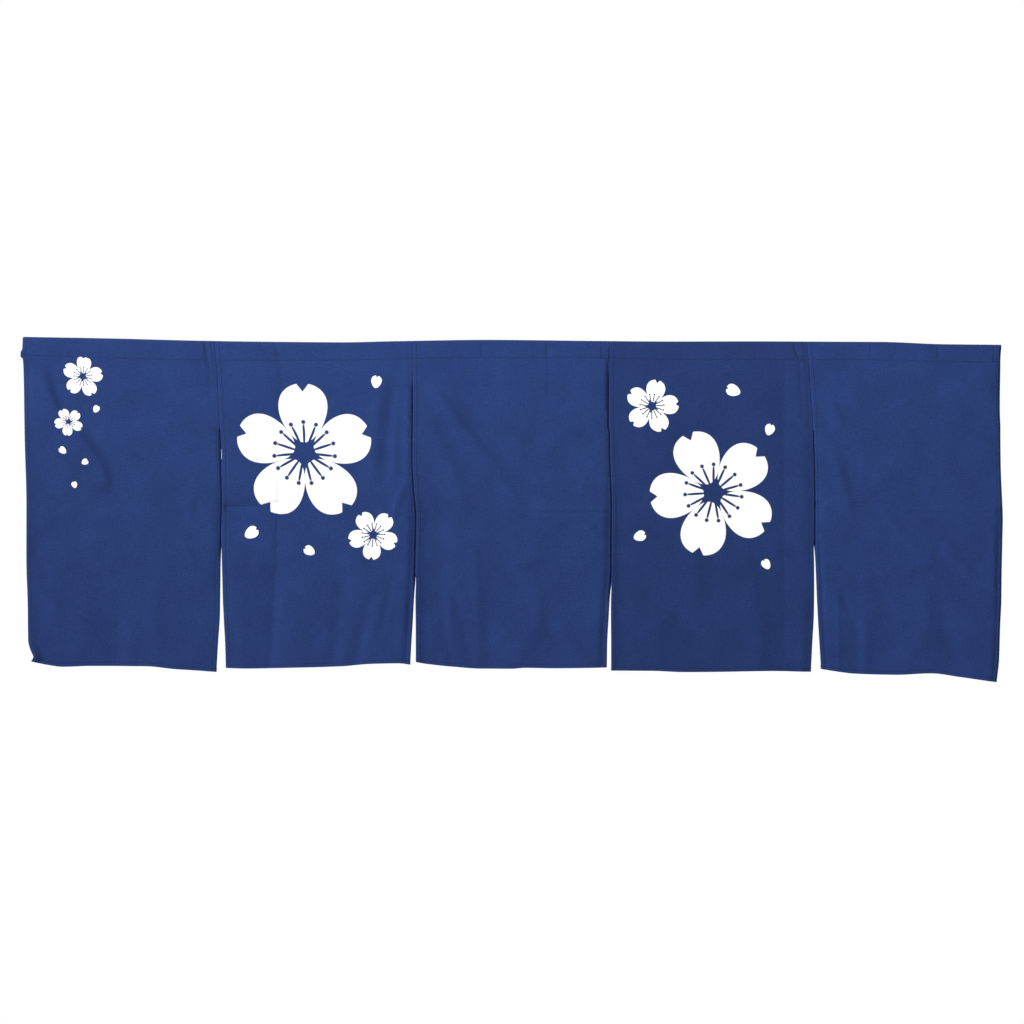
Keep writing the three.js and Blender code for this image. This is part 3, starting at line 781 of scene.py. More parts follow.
def sleeve_rows(stitch_z, top_z, strip_depth):
    """The sleeve's rows, from its stitch line up the back, over the fold and down the front."""
    up, opened = SLEEVE_SECTION["up"], SLEEVE_SECTION["open"]
    back = np.stack([up, SLEEVE_BACK_DEPTH * opened, 1 - opened], 1)
    crest = np.array([[1, SLEEVE_CREST_DEPTH, 0]])
    front = np.stack([up, -SLEEVE_FRONT_BULGE * opened, 0 * opened], 1)[::-1]
    curve = smooth_through(np.vstack([back, crest, front]), SLEEVE_STEPS)
    z = stitch_z + curve[:, :1] * (top_z - stitch_z)
    depth = curve[:, 1:2] + curve[:, 2:] * strip_depth
    dz, dy = np.gradient(z, axis=0), np.gradient(depth, axis=0)
    size = np.hypot(dz, dy)
    return z, depth, dy / size, -dz / size


def panel_heights(panel_index, columns):
    """Every column's z at the top fold, at the sleeve's stitch line and at the bottom edge."""
    top = np.zeros(len(columns["u"]))
    low = top + DROP
    top_x = column_x(panel_index, columns, top)
    top_z = read(TOP_FOLD, "x", "rise", top_x)
    stitch_z = top_z - read(TOP_FOLD, "x", "sleeve", top_x)
    edges = side_edges(panel_index, low)
    low_x = column_x(panel_index, columns, low)
    across = (low_x - edges["left"]) / (edges["right"] - edges["left"])
    return top_z, stitch_z, -read(PANELS[panel_index]["hem_line"], "across", "down", across)


def hanging_levels(panel_index, top_z, low_z):
    """Every row's z in the hanging cloth, from below the sleeve to above the bottom hem."""
    start, end = -np.mean(top_z), -np.mean(low_z)
    fine = [place * MM for place in PANELS[panel_index]["fine_down"]]
    levels = spread(start, end, ROW_STEP, fine)
    return [top_z + (low_z - top_z) * share for share in (levels[:-1] - start) / (end - start)]


def panel_rows(panel_index, columns):
    """A panel's rows from the flap's raw edge, over the sleeve and down, to the bottom's raw edge.

    Each row gives, for every column, its z, its depth behind the face layer, and the way (in z and
    in depth) in which the layers of a side hem lie behind it.
    """
    top_z, stitch_z, bottom_z = panel_heights(panel_index, columns)
    band_z = stitch_z - SLEEVE_BAND
    stack = columns["stack"]
    raw_depth, strip_depth, inner = turned_depths(stack)
    rows = []

    def row(z, depth, to_z, to_depth):
        rows.append([np.broadcast_to(value, len(stack)) for value in (z, depth, to_z, to_depth)])

    for rise in (FLAP_RAW, 0.0):
        row(stitch_z + rise, raw_depth, 0.0, 1.0)
    for angle in TURN_ANGLES:
        along, level = math.sin(angle), math.cos(angle)
        row(band_z + inner - inner * along, raw_depth + inner - inner * level, along, level)
    row(stitch_z - SLEEVE_BAND / 3, strip_depth, 0.0, -1.0)
    places = {"flap_stitch": len(rows)}
    for values in zip(*sleeve_rows(stitch_z, top_z, strip_depth)):
        row(*values)
    places["sleeve_stitch"] = len(rows) - 1
    rows.pop()
    row(stitch_z, STITCH_DIP, 0.0, 1.0)
    row(stitch_z - STITCH_SHOULDER, 0.0, 0.0, 1.0)
    row(stitch_z - HEM_REST, 0.0, 0.0, 1.0)

    places["hanging_top"] = len(rows)
    hem = hem_section(BOTTOM_HEM, BOTTOM_STITCH, stack)[::-1]
    for z in hanging_levels(panel_index, band_z, bottom_z + hem[0, 0]):
        row(z, 0.0, 0.0, 1.0)
    last = len(rows) + len(hem) - 1
    places["bottom_stitch"] = last - STITCH_STEP
    places["bottom_edge"] = last - EDGE_STEP
    places["bottom_strip"] = last - STRIP_STEP
    for inset, depth, to_inset, to_depth in hem:
        flare = BOTTOM_FLARE * np.maximum(0, 1 - inset / BOTTOM_HEM)**2
        row(bottom_z + inset, depth - flare, to_inset, to_depth)
    return np.array(rows), places, -stitch_z


# ---- One panel ---------------------------------------------------------------------------------


def panel_cloth(panel_index):
    """Every point of a panel's cloth, with its place on the flat cut and the way its face looks."""
    columns = panel_columns(panel_index)
    rows, places, stitch_down = panel_rows(panel_index, columns)
    z, depth, to_z, to_depth = rows.transpose(1, 0, 2)
    behind = columns["depth"]
    z = z + to_z * behind
    x = column_x(panel_index, columns, -z)
    y = face_depth(panel_index, x, -z, stitch_down) + depth + to_depth * behind
    points = np.stack([x, y, z], 2)

    steps = np.linalg.norm(np.diff(points, axis=0), axis=2)
    length = np.vstack([np.zeros((1, z.shape[1])), np.cumsum(steps, axis=0)])
    v = length - length[places["sleeve_stitch"]] + stitch_down
    edge = np.broadcast_to(columns["edge"], z.shape)
    lines = np.stack([
        edge,
        length - length[places["sleeve_stitch"]],
        length[places["bottom_edge"]] - length,
    ], 2)
    return {
        "points": points,
        "flat": np.stack([np.broadcast_to(columns["u"], z.shape), v], 2),
        "lines": lines,
        "outward": np.stack([np.zeros_like(z), -to_depth, -to_z], 2),
        "places": places,
    }


def mesh_object(name, points, edges=(), faces=()):
    """A new object whose mesh has these points, in the scene."""
    mesh = bpy.data.meshes.new(name)
    mesh.from_pydata(points, edges, faces)
    mesh.update()
    made = bpy.data.objects.new(name, mesh)
    bpy.context.scene.collection.objects.link(made)
    return made


def finished(made):
    """Turns an object's modifiers into a plain mesh."""
    bpy.context.view_layer.update()
    graph = bpy.context.evaluated_depsgraph_get()
    mesh = bpy.data.meshes.new_from_object(
        made.evaluated_get(graph), preserve_all_data_layers=True, depsgraph=graph)
    made.modifiers.clear()
    made.data = mesh
    return made


def panel_object(name, cloth, material):
    """One panel as a thin closed sheet."""
    points = cloth["points"]
    row_count, column_count = points.shape[:2]
    numbers = np.arange(row_count * column_count).reshape(row_count, column_count)
    corners = (numbers[:-1, :-1], numbers[1:, :-1], numbers[1:, 1:], numbers[:-1, 1:])
    faces = np.stack(corners, 2).reshape(-1, 4)
    made = mesh_object(name, points.reshape(-1, 3).tolist(), faces=faces.tolist())
    mesh = made.data
    flat = mesh.uv_layers.new(name="flat_cut")
    corner_points = faces.ravel()
    flat.uv.foreach_set("vector", cloth["flat"].reshape(-1, 2)[corner_points].ravel())
    lines = mesh.attributes.new("hem_lines", "FLOAT_VECTOR", "POINT")
    lines.data.foreach_set("vector", cloth["lines"].ravel())
    mesh.shade_smooth()
    mesh.materials.append(material)
    thickness = made.modifiers.new("cloth", "SOLIDIFY")
    thickness.thickness = CLOTH
    thickness.offset = 0
    return finished(made)


# ---- Wiring nodes ------------------------------------------------------------------------------


class Wiring:
    """Short ways to add nodes to a tree and to wire them."""

    def __init__(self, tree):
        self.tree = tree

    def add(self, kind, inputs=None, **settings):
        """A new node. An input is given by its name or number, as a socket or as a value."""
        node = self.tree.nodes.new(kind)
        for name, value in settings.items():
            setattr(node, name, value)
        for name, value in (inputs or {}).items():
            if isinstance(value, bpy.types.NodeSocket):
                self.tree.links.new(value, node.inputs[name])
            else:
                node.inputs[name].default_value = value
        return node

    def group(self, tree, inputs):
        """A node group placed in the tree: its outputs."""
        return self.add("ShaderNodeGroup", inputs, node_tree=tree).outputs

    def feed(self, sockets, values):
        """Wires each value to the socket of that name."""
        for name, value in values.items():
            self.tree.links.new(value, sockets[name])

    def parts(self, vector):
        """The three parts of a vector."""
        return self.add("ShaderNodeSeparateXYZ", {0: vector}).outputs

    def math(self, operation, *values, clamp=False):
        """The result of a Math node."""
        node = self.add("ShaderNodeMath", dict(enumerate(values)), operation=operation)
        node.use_clamp = clamp
        return node.outputs[0]

    def squares(self, one, two):
        """The sum of two values' squares."""
        return self.math("ADD", self.math("POWER", one, 2.0), self.math("POWER", two, 2.0))

    def mix(self, factor, one, two, blend="MIX"):
        """The colour of a Mix node."""
        node = self.add("ShaderNodeMix", {0: factor, 6: one, 7: two},
                        data_type="RGBA", blend_type=blend)
        return node.outputs[2]

    def band(self, value, place, reach):
        """1 where a value is at its place, down to 0 at that reach from it."""
        away = self.math("ABSOLUTE", self.math("SUBTRACT", value, place))
        return self.math("SUBTRACT", 1.0, self.math("DIVIDE", away, reach), clamp=True)

    def noise(self, vector, scale, detail, roughness=0.5):
        """The grey value of a Noise node."""
        node = self.add("ShaderNodeTexNoise", {
            "Vector": vector, "Scale": scale, "Detail": detail, "Roughness": roughness})
        return node.outputs[0]

    def stretched(self, vector, x, y):
        """A vector with its first two parts multiplied."""
        node = self.add("ShaderNodeVectorMath", {0: vector, 1: (x, y, 1.0)}, operation="MULTIPLY")
        return node.outputs[0]


# ---- Sewing ------------------------------------------------------------------------------------

STITCH_PITCH = 3.1 * MM
STITCH_LENGTH = 2.5 * MM
THREAD_RADIUS = 0.19 * MM
THREAD_STAND = 0.22 * MM
SEAM_PITCH = 4.2 * MM
SEAM_STITCH = 2.6 * MM
SEAM_SLANT = math.radians(62)
SEAM_STAND = 0.25 * MM
THREAD_SIDES = 5
THREAD_RINGS = 4

# How far down each seam is sewn, by the number of its border.
SEAM_ENDS = {1: 154 * MM, 2: 138 * MM, 3: 147 * MM, 4: 150 * MM}

TACK_REACH = 1.6 * MM      # half a back tack's length
TACK_APART = 0.25 * MM
TACK_LEAN = 0.2 * MM
TACK_RISE = 0.7            # how much further each run of it stands out, as a share


def stitches_tree(material):
    """A Geometry Nodes tree that lays a stitch of thread along each step of a line."""
    tree = bpy.data.node_groups.new("sewn_stitches", "GeometryNodeTree")
    sockets = tree.interface
    sockets.new_socket("Geometry", in_out="INPUT", socket_type="NodeSocketGeometry")
    for name in ("Pitch", "Stitch Length", "Thread Radius", "Slant"):
        sockets.new_socket(name, in_out="INPUT", socket_type="NodeSocketFloat")
    sockets.new_socket("Geometry", in_out="OUTPUT", socket_type="NodeSocketGeometry")
    wire = Wiring(tree)
    given = wire.add("NodeGroupInput").outputs
    line = wire.add("GeometryNodeMeshToCurve", {0: given["Geometry"]})
    spaced = wire.add("GeometryNodeResampleCurve", {
        "Curve": line.outputs[0], "Length": given["Pitch"]}, mode="LENGTH")
    ball = wire.add("GeometryNodeMeshUVSphere", {
        "Segments": THREAD_SIDES, "Rings": THREAD_RINGS, "Radius": 1.0})
    half = wire.math("MULTIPLY", given["Stitch Length"], 0.5)
    size = wire.add("ShaderNodeCombineXYZ", {
        "X": half, "Y": given["Thread Radius"], "Z": given["Thread Radius"]})
    slanted = wire.add("ShaderNodeCombineXYZ", {"Z": given["Slant"]})
    thread = wire.add("GeometryNodeTransform", {
        "Geometry": ball.outputs["Mesh"], "Scale": size.outputs[0], "Rotation": slanted.outputs[0]})
    tangent = wire.add("GeometryNodeInputTangent")
    turned = wire.add("FunctionNodeAlignRotationToVector", {
        "Vector": tangent.outputs[0]}, axis="X", pivot_axis="Y")
    laid = wire.add("GeometryNodeInstanceOnPoints", {
        "Points": spaced.outputs[0], "Instance": thread.outputs[0],
        "Rotation": turned.outputs[0]})
    real = wire.add("GeometryNodeRealizeInstances", {0: laid.outputs[0]})
    smooth = wire.add("GeometryNodeSetShadeSmooth", {0: real.outputs[0]})
    coloured = wire.add("GeometryNodeSetMaterial", {
        "Geometry": smooth.outputs[0], "Material": material})
    wire.add("NodeGroupOutput", {0: coloured.outputs[0]})
    return tree


def set_inputs(modifier, values):
    """Sets a Geometry Nodes modifier's named inputs by their sockets' identifiers."""
    for item in modifier.node_group.interface.items_tree:
        if item.item_type == "SOCKET" and item.in_out == "INPUT" and item.name in values:
            modifier[item.identifier] = values[item.name]


def sewn_lines(name, lines, tree, pitch, length, slant=0.0):
    """One mesh of the stitches along all the lines given, each a row of points."""
    points, edges = [], []
    for line in lines:
        first = len(points)
        points += [tuple(point) for point in line]
        edges += [(k, k + 1) for k in range(first, len(points) - 1)]
    made = mesh_object(name, points, edges=edges)
    modifier = made.modifiers.new("stitches", "NODES")
    modifier.node_group = tree
    set_inputs(modifier, {
        "Pitch": pitch, "Stitch Length": length, "Thread Radius": THREAD_RADIUS, "Slant": slant})
    return finished(made)


def stitch_lines(cloth):
    """The lines of machine stitching that show on a panel, on its face and on its back."""
    points, outward, places = cloth["points"], cloth["outward"], cloth["places"]
    last = points.shape[1] - 1
    out = points + outward * THREAD_STAND
    flap = slice(places["flap_stitch"] - 1, places["bottom_strip"])
    hung = slice(places["hanging_top"], places["bottom_stitch"])
    whole = slice(EDGE_STEP, last - EDGE_STEP)
    lines = []
    for face, strip in ((STITCH_STEP, STRIP_STEP), (last - STITCH_STEP, last - STRIP_STEP)):
        lines.append(out[flap, face])
        lines.append(out[hung, strip])
    lines.append(out[places["sleeve_stitch"], whole])
    lines.append(out[places["flap_stitch"], whole])
    lines.append(out[places["bottom_stitch"], whole])
    lines.append(out[places["bottom_strip"], whole])
    return lines


def nearest_point(cloth, x, down):
    """The face point of a panel nearest to a place on its front."""
    places = cloth["places"]
    face = cloth["points"][places["sleeve_stitch"]:places["bottom_stitch"], EDGE_STEP:-EDGE_STEP]
    away = np.hypot(face[..., 0] - x, face[..., 2] + down)
    row, column = np.unravel_index(np.argmin(away), away.shape)
    return face[row, column]


def back_tack_lines(cloth, tack):
    """Three short runs of stitching over each other, as where a machine sews back and forth."""
    middle = nearest_point(cloth, tack["x"], tack["down"])
    lines = []
    for k, aside in enumerate((-TACK_APART, 0.0, TACK_APART)):
        lean = (k - 1) * TACK_LEAN
        out = -THREAD_STAND * (1 + TACK_RISE * k)
        low = middle + np.array([aside - lean, out, -TACK_REACH])
        high = middle + np.array([aside + lean, out, TACK_REACH])
        lines.append([low, high])
    return lines


def seam_line(cloths, border_index, seam_down):
    """The line along which two panels' edges are sewn together, from the flap down the front."""
    left, right = cloths[border_index - 1], cloths[border_index]
    last = left["points"].shape[1] - 1
    count = min(left["points"].shape[0], right["points"].shape[0])
    one = left["points"][:count, last - EDGE_STEP]
    two = right["points"][:count, EDGE_STEP]
    middle = (one + two) / 2 + left["outward"][:count, last - EDGE_STEP] * SEAM_STAND
    start = left["places"]["flap_stitch"] - 1
    front = left["places"]["sleeve_stitch"]
    end = min(count, left["places"]["bottom_stitch"])
    return middle[[k for k in range(start, end) if k <= front or -middle[k, 2] < seam_down]]


# ---- Materials ---------------------------------------------------------------------------------


def new_group(name, inputs, outputs):
    """A shader node group with named sockets: its wiring, what it is given and what it results in."""
    tree = bpy.data.node_groups.new(name, "ShaderNodeTree")
    kinds = {"v": "NodeSocketVector", "f": "NodeSocketFloat"}
    for label, kind in inputs.items():
        tree.interface.new_socket(label, in_out="INPUT", socket_type=kinds[kind])
    for label, kind in outputs.items():
        tree.interface.new_socket(label, in_out="OUTPUT", socket_type=kinds[kind])
    wire = Wiring(tree)
    return wire, wire.add("NodeGroupInput").outputs, wire.add("NodeGroupOutput").inputs


WEAVE_PITCH = 0.46 * MM
SLUB = 0.36                # how much the thick and thin places of the threads show
WANDER = 0.22 * MM         # how far the threads stray aside
WANDER_SCALE = 130.0
SLUB_ALONG = 60.0          # a slub is long in its thread's own direction and thin across it
SLUB_ACROSS = 700.0
FLECK_SCALE = 620.0
FLECK_SHARE = 3.4
SLUB_MIDDLE = 2.7          # about what the two slubs and the flecks add up to
SLUB_RELIEF = 1.5
CROWN = 0.66               # brings the threads' height to about 1 at most
SHADE_LOW = 0.9            # the painted shade between the threads, and how much lighter the painted highlight on their tops is
SHADE_RISE = 0.16


def plain_weave_group():
    """Warp and weft threads going over and under each other, with thick and thin places and painted
    shade.
    """
    wire, given, result = new_group(
        "plain_weave", {"Flat Cut": "v", "Thread Pitch": "f", "Slub": "f"},
        {"Height": "f", "Shade": "f"})
    flat = given["Flat Cut"]
    wander = wire.noise(flat, WANDER_SCALE, 1.0)
    wander = wire.math("MULTIPLY", wire.math("SUBTRACT", wander, 0.5), WANDER)
    parts = wire.parts(flat)
    angle = wire.math("DIVIDE", math.pi, given["Thread Pitch"])
    across = wire.math("SINE", wire.math("MULTIPLY", wire.math("ADD", parts[0], wander), angle))
    down = wire.math("SINE", wire.math("MULTIPLY", wire.math("ADD", parts[1], wander), angle))
    over = wire.math("MULTIPLY", wire.math("MULTIPLY", across, down), 0.5)
    warp = wire.math("ADD", wire.math("ABSOLUTE", across), over)
    weft = wire.math("SUBTRACT", wire.math("ABSOLUTE", down), over)
    height = wire.math("MULTIPLY", wire.math("MAXIMUM", warp, weft), CROWN)
    warp_slub = wire.noise(wire.stretched(flat, SLUB_ACROSS, SLUB_ALONG), 1.0, 1.0)
    weft_slub = wire.noise(wire.stretched(flat, SLUB_ALONG, SLUB_ACROSS), 1.0, 1.0)
    fleck = wire.math("MULTIPLY", wire.noise(flat, FLECK_SCALE, 1.0), FLECK_SHARE)
    slub = wire.math("ADD", wire.math("ADD", warp_slub, weft_slub), fleck)
    slub = wire.math("MULTIPLY", wire.math("SUBTRACT", slub, SLUB_MIDDLE), given["Slub"])
    # Shade is painted shade, darker between the threads and lighter on their tops, with the slubs'
    # and flecks' own unevenness.
    wire.feed(result, {
        "Height": wire.math("ADD", height, wire.math("MULTIPLY", slub, SLUB_RELIEF)),
        "Shade": wire.math("ADD", wire.math("MULTIPLY_ADD", height, SHADE_RISE, SHADE_LOW), slub),
    })
    return wire.tree


GROOVE_REACH = 0.8 * MM
PUCKER_REACH = 9 * MM
PUCKER_ALONG = 330.0       # puckers are short along the stitch line and long across it
PUCKER_ACROSS = 60.0
WORN_SIDE = 1.3 * MM
WORN_BOTTOM = 1.5 * MM
PATCH_SCALE = 90.0
PATCH_SPREAD = 1.4
PATCH_LOW = -0.2


def sewn_edges_group():
    """Grooves and puckers by the lines of stitching, and wear along the folded edges."""
    wire, given, result = new_group(
        "sewn_edges", {"Hem Lines": "v", "Flat Cut": "v"},
        {"Groove": "f", "Pucker": "f", "Wear": "f"})
    flat = given["Flat Cut"]
    side, sleeve, bottom = wire.parts(given["Hem Lines"])
    side = wire.math("ABSOLUTE", side)
    bottom = wire.math("ABSOLUTE", bottom)
    grooves, puckers = [], []
    for value, place in ((side, SIDE_STITCH), (sleeve, 0.0), (bottom, BOTTOM_STITCH)):
        grooves.append(wire.band(value, place, GROOVE_REACH))
        puckers.append(wire.band(value, place, PUCKER_REACH))
    groove = wire.math("MAXIMUM", wire.math("MAXIMUM", grooves[0], grooves[1]), grooves[2])
    upright = wire.noise(wire.stretched(flat, PUCKER_ACROSS, PUCKER_ALONG), 1.0, 1.0)
    level = wire.noise(wire.stretched(flat, PUCKER_ALONG, PUCKER_ACROSS), 1.0, 1.0)
    by_side = wire.math("MULTIPLY", puckers[0], upright)
    by_ends = wire.math("MULTIPLY", wire.math("MAXIMUM", puckers[1], puckers[2]), level)
    worn = wire.math("MAXIMUM", wire.band(side, 0.0, WORN_SIDE),
                     wire.band(bottom, 0.0, WORN_BOTTOM))
    patchy = wire.noise(flat, PATCH_SCALE, 2.0)
    patchy = wire.math("MULTIPLY_ADD", patchy, PATCH_SPREAD, PATCH_LOW, clamp=True)
    wire.feed(result, {
        "Groove": groove,
        "Pucker": wire.math("ADD", by_side, by_ends),
        "Wear": wire.math("MULTIPLY", worn, patchy),
    })
    return wire.tree


# A blossom's own measures, as shares of the size from its centre to a petal's tip.
PETALS = 5
PETAL_MIDDLE = 0.57
PETAL_HALF = 0.42
PETAL_WIDTH = 0.225        # half the petal's width at the heart, and how it grows outwards
PETAL_GROWS = 0.2
PETAL_EDGE = 22.0          # how crisp the petal's edge is
NOTCH_START = 0.87
NOTCH_SLOPE = 1.3
HEART = 0.12
STAMENS = 15
STAMEN_EDGE = 6.0
STAMEN_WIDTH = 0.02
STAMEN_MIDDLE = 0.27
STAMEN_HALF = 0.16
TIP_PLACE = 0.44
TIP_SIZE = 0.03
TIP_EDGE = 80.0
CRISP = 60.0               # how crisp the notch and the heart are
MOTIF_SOCKETS = {"Flat Cut": "v", "Centre X": "f", "Centre Down": "f", "Size": "f", "Turn": "f"}


def petal_group():
    """One notched petal round a point: 1 inside it and 0 outside, from a local place."""
    wire, given, result = new_group("petal", {"Along": "f", "Aside": "f"}, {"Inside": "f"})
    long = wire.math("DIVIDE", wire.math("SUBTRACT", given["Along"], PETAL_MIDDLE), PETAL_HALF)
    taper = wire.math("MULTIPLY_ADD", given["Along"], PETAL_GROWS, PETAL_WIDTH)
    wide = wire.math("DIVIDE", given["Aside"], taper)
    inside = wire.math("SUBTRACT", 1.0, wire.squares(long, wide))
    inside = wire.math("MULTIPLY_ADD", inside, PETAL_EDGE, 0.5, clamp=True)
    slope = wire.math("MULTIPLY", wire.math("ABSOLUTE", given["Aside"]), NOTCH_SLOPE)
    notch = wire.math("SUBTRACT", wire.math("SUBTRACT", given["Along"], NOTCH_START), slope)
    notch = wire.math("MULTIPLY_ADD", notch, CRISP, 0.5, clamp=True)
    wire.feed(result, {"Inside": wire.math("SUBTRACT", inside, notch, clamp=True)})
    return wire.tree


def local_place(wire, given):
    """A point's distance and direction from a motif's centre, in sizes of the motif."""
    parts, size = wire.parts(given["Flat Cut"]), given["Size"]
    right = wire.math("DIVIDE", wire.math("SUBTRACT", parts[0], given["Centre X"]), size)
    down = wire.math("DIVIDE", wire.math("SUBTRACT", parts[1], given["Centre Down"]), size)
    far = wire.math("SQRT", wire.squares(right, down))
    angle = wire.math("ADD", wire.math("ARCTAN2", down, right), given["Turn"])
    return far, angle


def in_sector(wire, far, angle, count):
    """A place turned into the nearest of so many even sectors: along its middle, and aside."""
    sector = 2 * math.pi / count
    turn = wire.math("DIVIDE", angle, sector)
    turn = wire.math("SUBTRACT", turn, wire.math("ROUND", turn))
    turn = wire.math("MULTIPLY", turn, sector)
    along = wire.math("MULTIPLY", far, wire.math("COSINE", turn))
    aside = wire.math("MULTIPLY", far, wire.math("SINE", turn))
    return along, aside


def blossom_group(petal):
    """A five-petalled blossom with its stamens: 1 where the cloth is left white."""
    wire, given, result = new_group("blossom", MOTIF_SOCKETS, {"White": "f"})
    far, angle = local_place(wire, given)
    along, aside = in_sector(wire, far, angle, PETALS)
    petals = wire.group(petal, {"Along": along, "Aside": aside})["Inside"]
    along, aside = in_sector(wire, far, angle, STAMENS)
    line = wire.math("MULTIPLY", wire.band(aside, 0.0, STAMEN_WIDTH),
                     wire.band(along, STAMEN_MIDDLE, STAMEN_HALF))
    line = wire.math("MULTIPLY", line, STAMEN_EDGE, clamp=True)
    from_tip = wire.math("SQRT", wire.squares(wire.math("SUBTRACT", along, TIP_PLACE), aside))
    tip = wire.math("MULTIPLY_ADD", wire.math("SUBTRACT", TIP_SIZE, from_tip), TIP_EDGE, 0.5,
                    clamp=True)
    heart = wire.math("MULTIPLY_ADD", wire.math("SUBTRACT", HEART, far), CRISP, 0.5, clamp=True)
    blue = wire.math("MAXIMUM", wire.math("MAXIMUM", line, tip), heart)
    wire.feed(result, {"White": wire.math("SUBTRACT", petals, blue, clamp=True)})
    return wire.tree


def loose_petal_group(petal):
    """A single fallen petal: 1 where the cloth is left white."""
    wire, given, result = new_group("loose_petal", MOTIF_SOCKETS, {"White": "f"})
    far, angle = local_place(wire, given)
    along = wire.math("MULTIPLY", far, wire.math("COSINE", angle))
    along = wire.math("ADD", along, PETAL_MIDDLE)
    aside = wire.math("MULTIPLY", far, wire.math("SINE", angle))
    wire.feed(result, {"White": wire.group(petal, {"Along": along, "Aside": aside})["Inside"]})
    return wire.tree


# ---- Colours and finishes ----------------------------------------------------------------------

INDIGO = (0.0157, 0.0402, 0.157, 1)
INDIGO_DEEP = (0.0124, 0.0318, 0.125, 1)
INDIGO_WORN = (0.050, 0.088, 0.245, 1)
UNDYED = (0.90, 0.90, 0.885, 1)
THREAD_BLUE = (0.006, 0.013, 0.05, 1)
FLOOR_PALE = (0.84, 0.84, 0.83, 1)
FLOOR_GREY = (0.78, 0.78, 0.77, 1)

MOTTLE_SCALE = 16.0
MOTTLE_SPREAD = 1.8        # how far the dye's soft patches spread from dark to light
EDGE_WEAR = 0.3
# how much the painted shade darkens the sewing's grooves
GROOVE_SHADE = 0.26
UNDYED_WEAVE = 0.35        # how much of the weave's painted shade shows where the cloth is white
FIBRE_SCALE = 2600.0
WEAVE_RELIEF = 0.12 * MM
SEWN_RELIEF = 0.3 * MM
TWIST_SCALE = 3000.0
TWIST_RELIEF = 0.05 * MM
LIT_STRIP_START = 5 * MM       # a painted lit strip's left side is crisp, its right side and its foot soft
LIT_STRIP_END = 30 * MM
LIT_STRIP_FOOT = 60 * MM

COTTON_ROUGHNESS = 0.84
FIBRE_ROUGHNESS = 0.12     # how much the fibres vary it
COTTON_SURFACE = {
    "Specular IOR Level": 0.14,
    "Sheen Weight": 0.06,
    "Sheen Roughness": 0.6,
    "Sheen Tint": (0.6, 0.7, 1.0, 1),
}
THREAD_ROUGHNESS = 0.7
THREAD_FADE = 0.5          # how far the thread's twist goes towards the cloth's blue


def placed(wire, tree, flat, motif):
    """One motif on the cloth, as the value that says where it is white."""
    return wire.group(tree, {
        "Flat Cut": flat, "Centre X": motif["x"], "Centre Down": motif["down"],
        "Size": motif["size"], "Turn": math.radians(motif["turn"])})["White"]


def tone_step(wire, value, place, reach):
    """0 below a place and 1 above it, with a soft change as wide as the reach."""
    share = wire.math("DIVIDE", wire.math("SUBTRACT", value, place), reach)
    return wire.math("ADD", share, 0.5, clamp=True)


def dye_and_painted_light(wire, flat, panel, left_edge):
    """How light a panel is: its dye's own tone, with painted light in its lit strips beside a crease.
    """
    tone_and_painted_light = wire.add("ShaderNodeValue").outputs[0]
    tone_and_painted_light.default_value = panel["dye"]
    parts = wire.parts(flat)
    # painted light: each lit strip is painted lighter where the cloth beside a crease faces the lamp
    for strip in rows_of(panel["lit_strips"]):
        inside = tone_step(wire, parts[0], strip["left"] - left_edge, LIT_STRIP_START)
        past = tone_step(wire, parts[0], strip["right"] - left_edge, LIT_STRIP_END)
        below = tone_step(wire, parts[1], strip["bottom"], LIT_STRIP_FOOT)
        mask = wire.math("MULTIPLY", wire.math("SUBTRACT", inside, past, clamp=True),
                         wire.math("SUBTRACT", 1.0, below))
        tone_and_painted_light = wire.math("MULTIPLY_ADD", mask, strip["gain"], tone_and_painted_light)
    return tone_and_painted_light


def dye_wear_and_painted_shade(wire, place, tone_and_painted_light, edges, shade):
    """The dye in soft patches, worn along the folded edges, with painted shade in the sewing's
    grooves and between the threads.
    """
    mottle = wire.noise(place, MOTTLE_SCALE, 3.0, 0.55)
    mottle = wire.math("MULTIPLY_ADD", mottle, MOTTLE_SPREAD, 0.5 - MOTTLE_SPREAD / 2, clamp=True)
    dye_and_shade = wire.mix(mottle, INDIGO_DEEP, INDIGO)
    dye_and_shade = wire.mix(1.0, dye_and_shade, tone_and_painted_light, "MULTIPLY")
    worn = wire.math("MULTIPLY", edges["Wear"], EDGE_WEAR)
    dye_and_shade = wire.mix(worn, dye_and_shade, INDIGO_WORN)
    # painted shade: the sewing's grooves are painted darker
    held = wire.math("MULTIPLY_ADD", edges["Groove"], -GROOVE_SHADE, 1.0)
    dye_and_shade = wire.mix(1.0, dye_and_shade, held, "MULTIPLY")
    # the weave's painted shade and painted highlight, with the slubs' own unevenness
    return wire.mix(1.0, dye_and_shade, shade, "MULTIPLY")


def with_blossoms(wire, groups, flat, panel_index, dye_and_shade, shade):
    """The cloth's colour, with its blossoms and loose petals left white, shaded a little by the
    weave's painted shade.
    """
    motifs = [("blossom", motif) for motif in rows_of(BLOSSOMS.get(panel_index, {}))]
    motifs += [("loose_petal", motif) for motif in rows_of(LOOSE_PETALS.get(panel_index, {}))]
    if not motifs:
        return dye_and_shade
    whites = [placed(wire, groups[kind], flat, motif) for kind, motif in motifs]
    white = whites[0]
    for other in whites[1:]:
        white = wire.math("MAXIMUM", white, other)
    # the weave's painted shade, shown a little on the white
    woven = wire.mix(1.0, UNDYED, shade, "MULTIPLY")
    return wire.mix(white, dye_and_shade, wire.mix(UNDYED_WEAVE, UNDYED, woven))


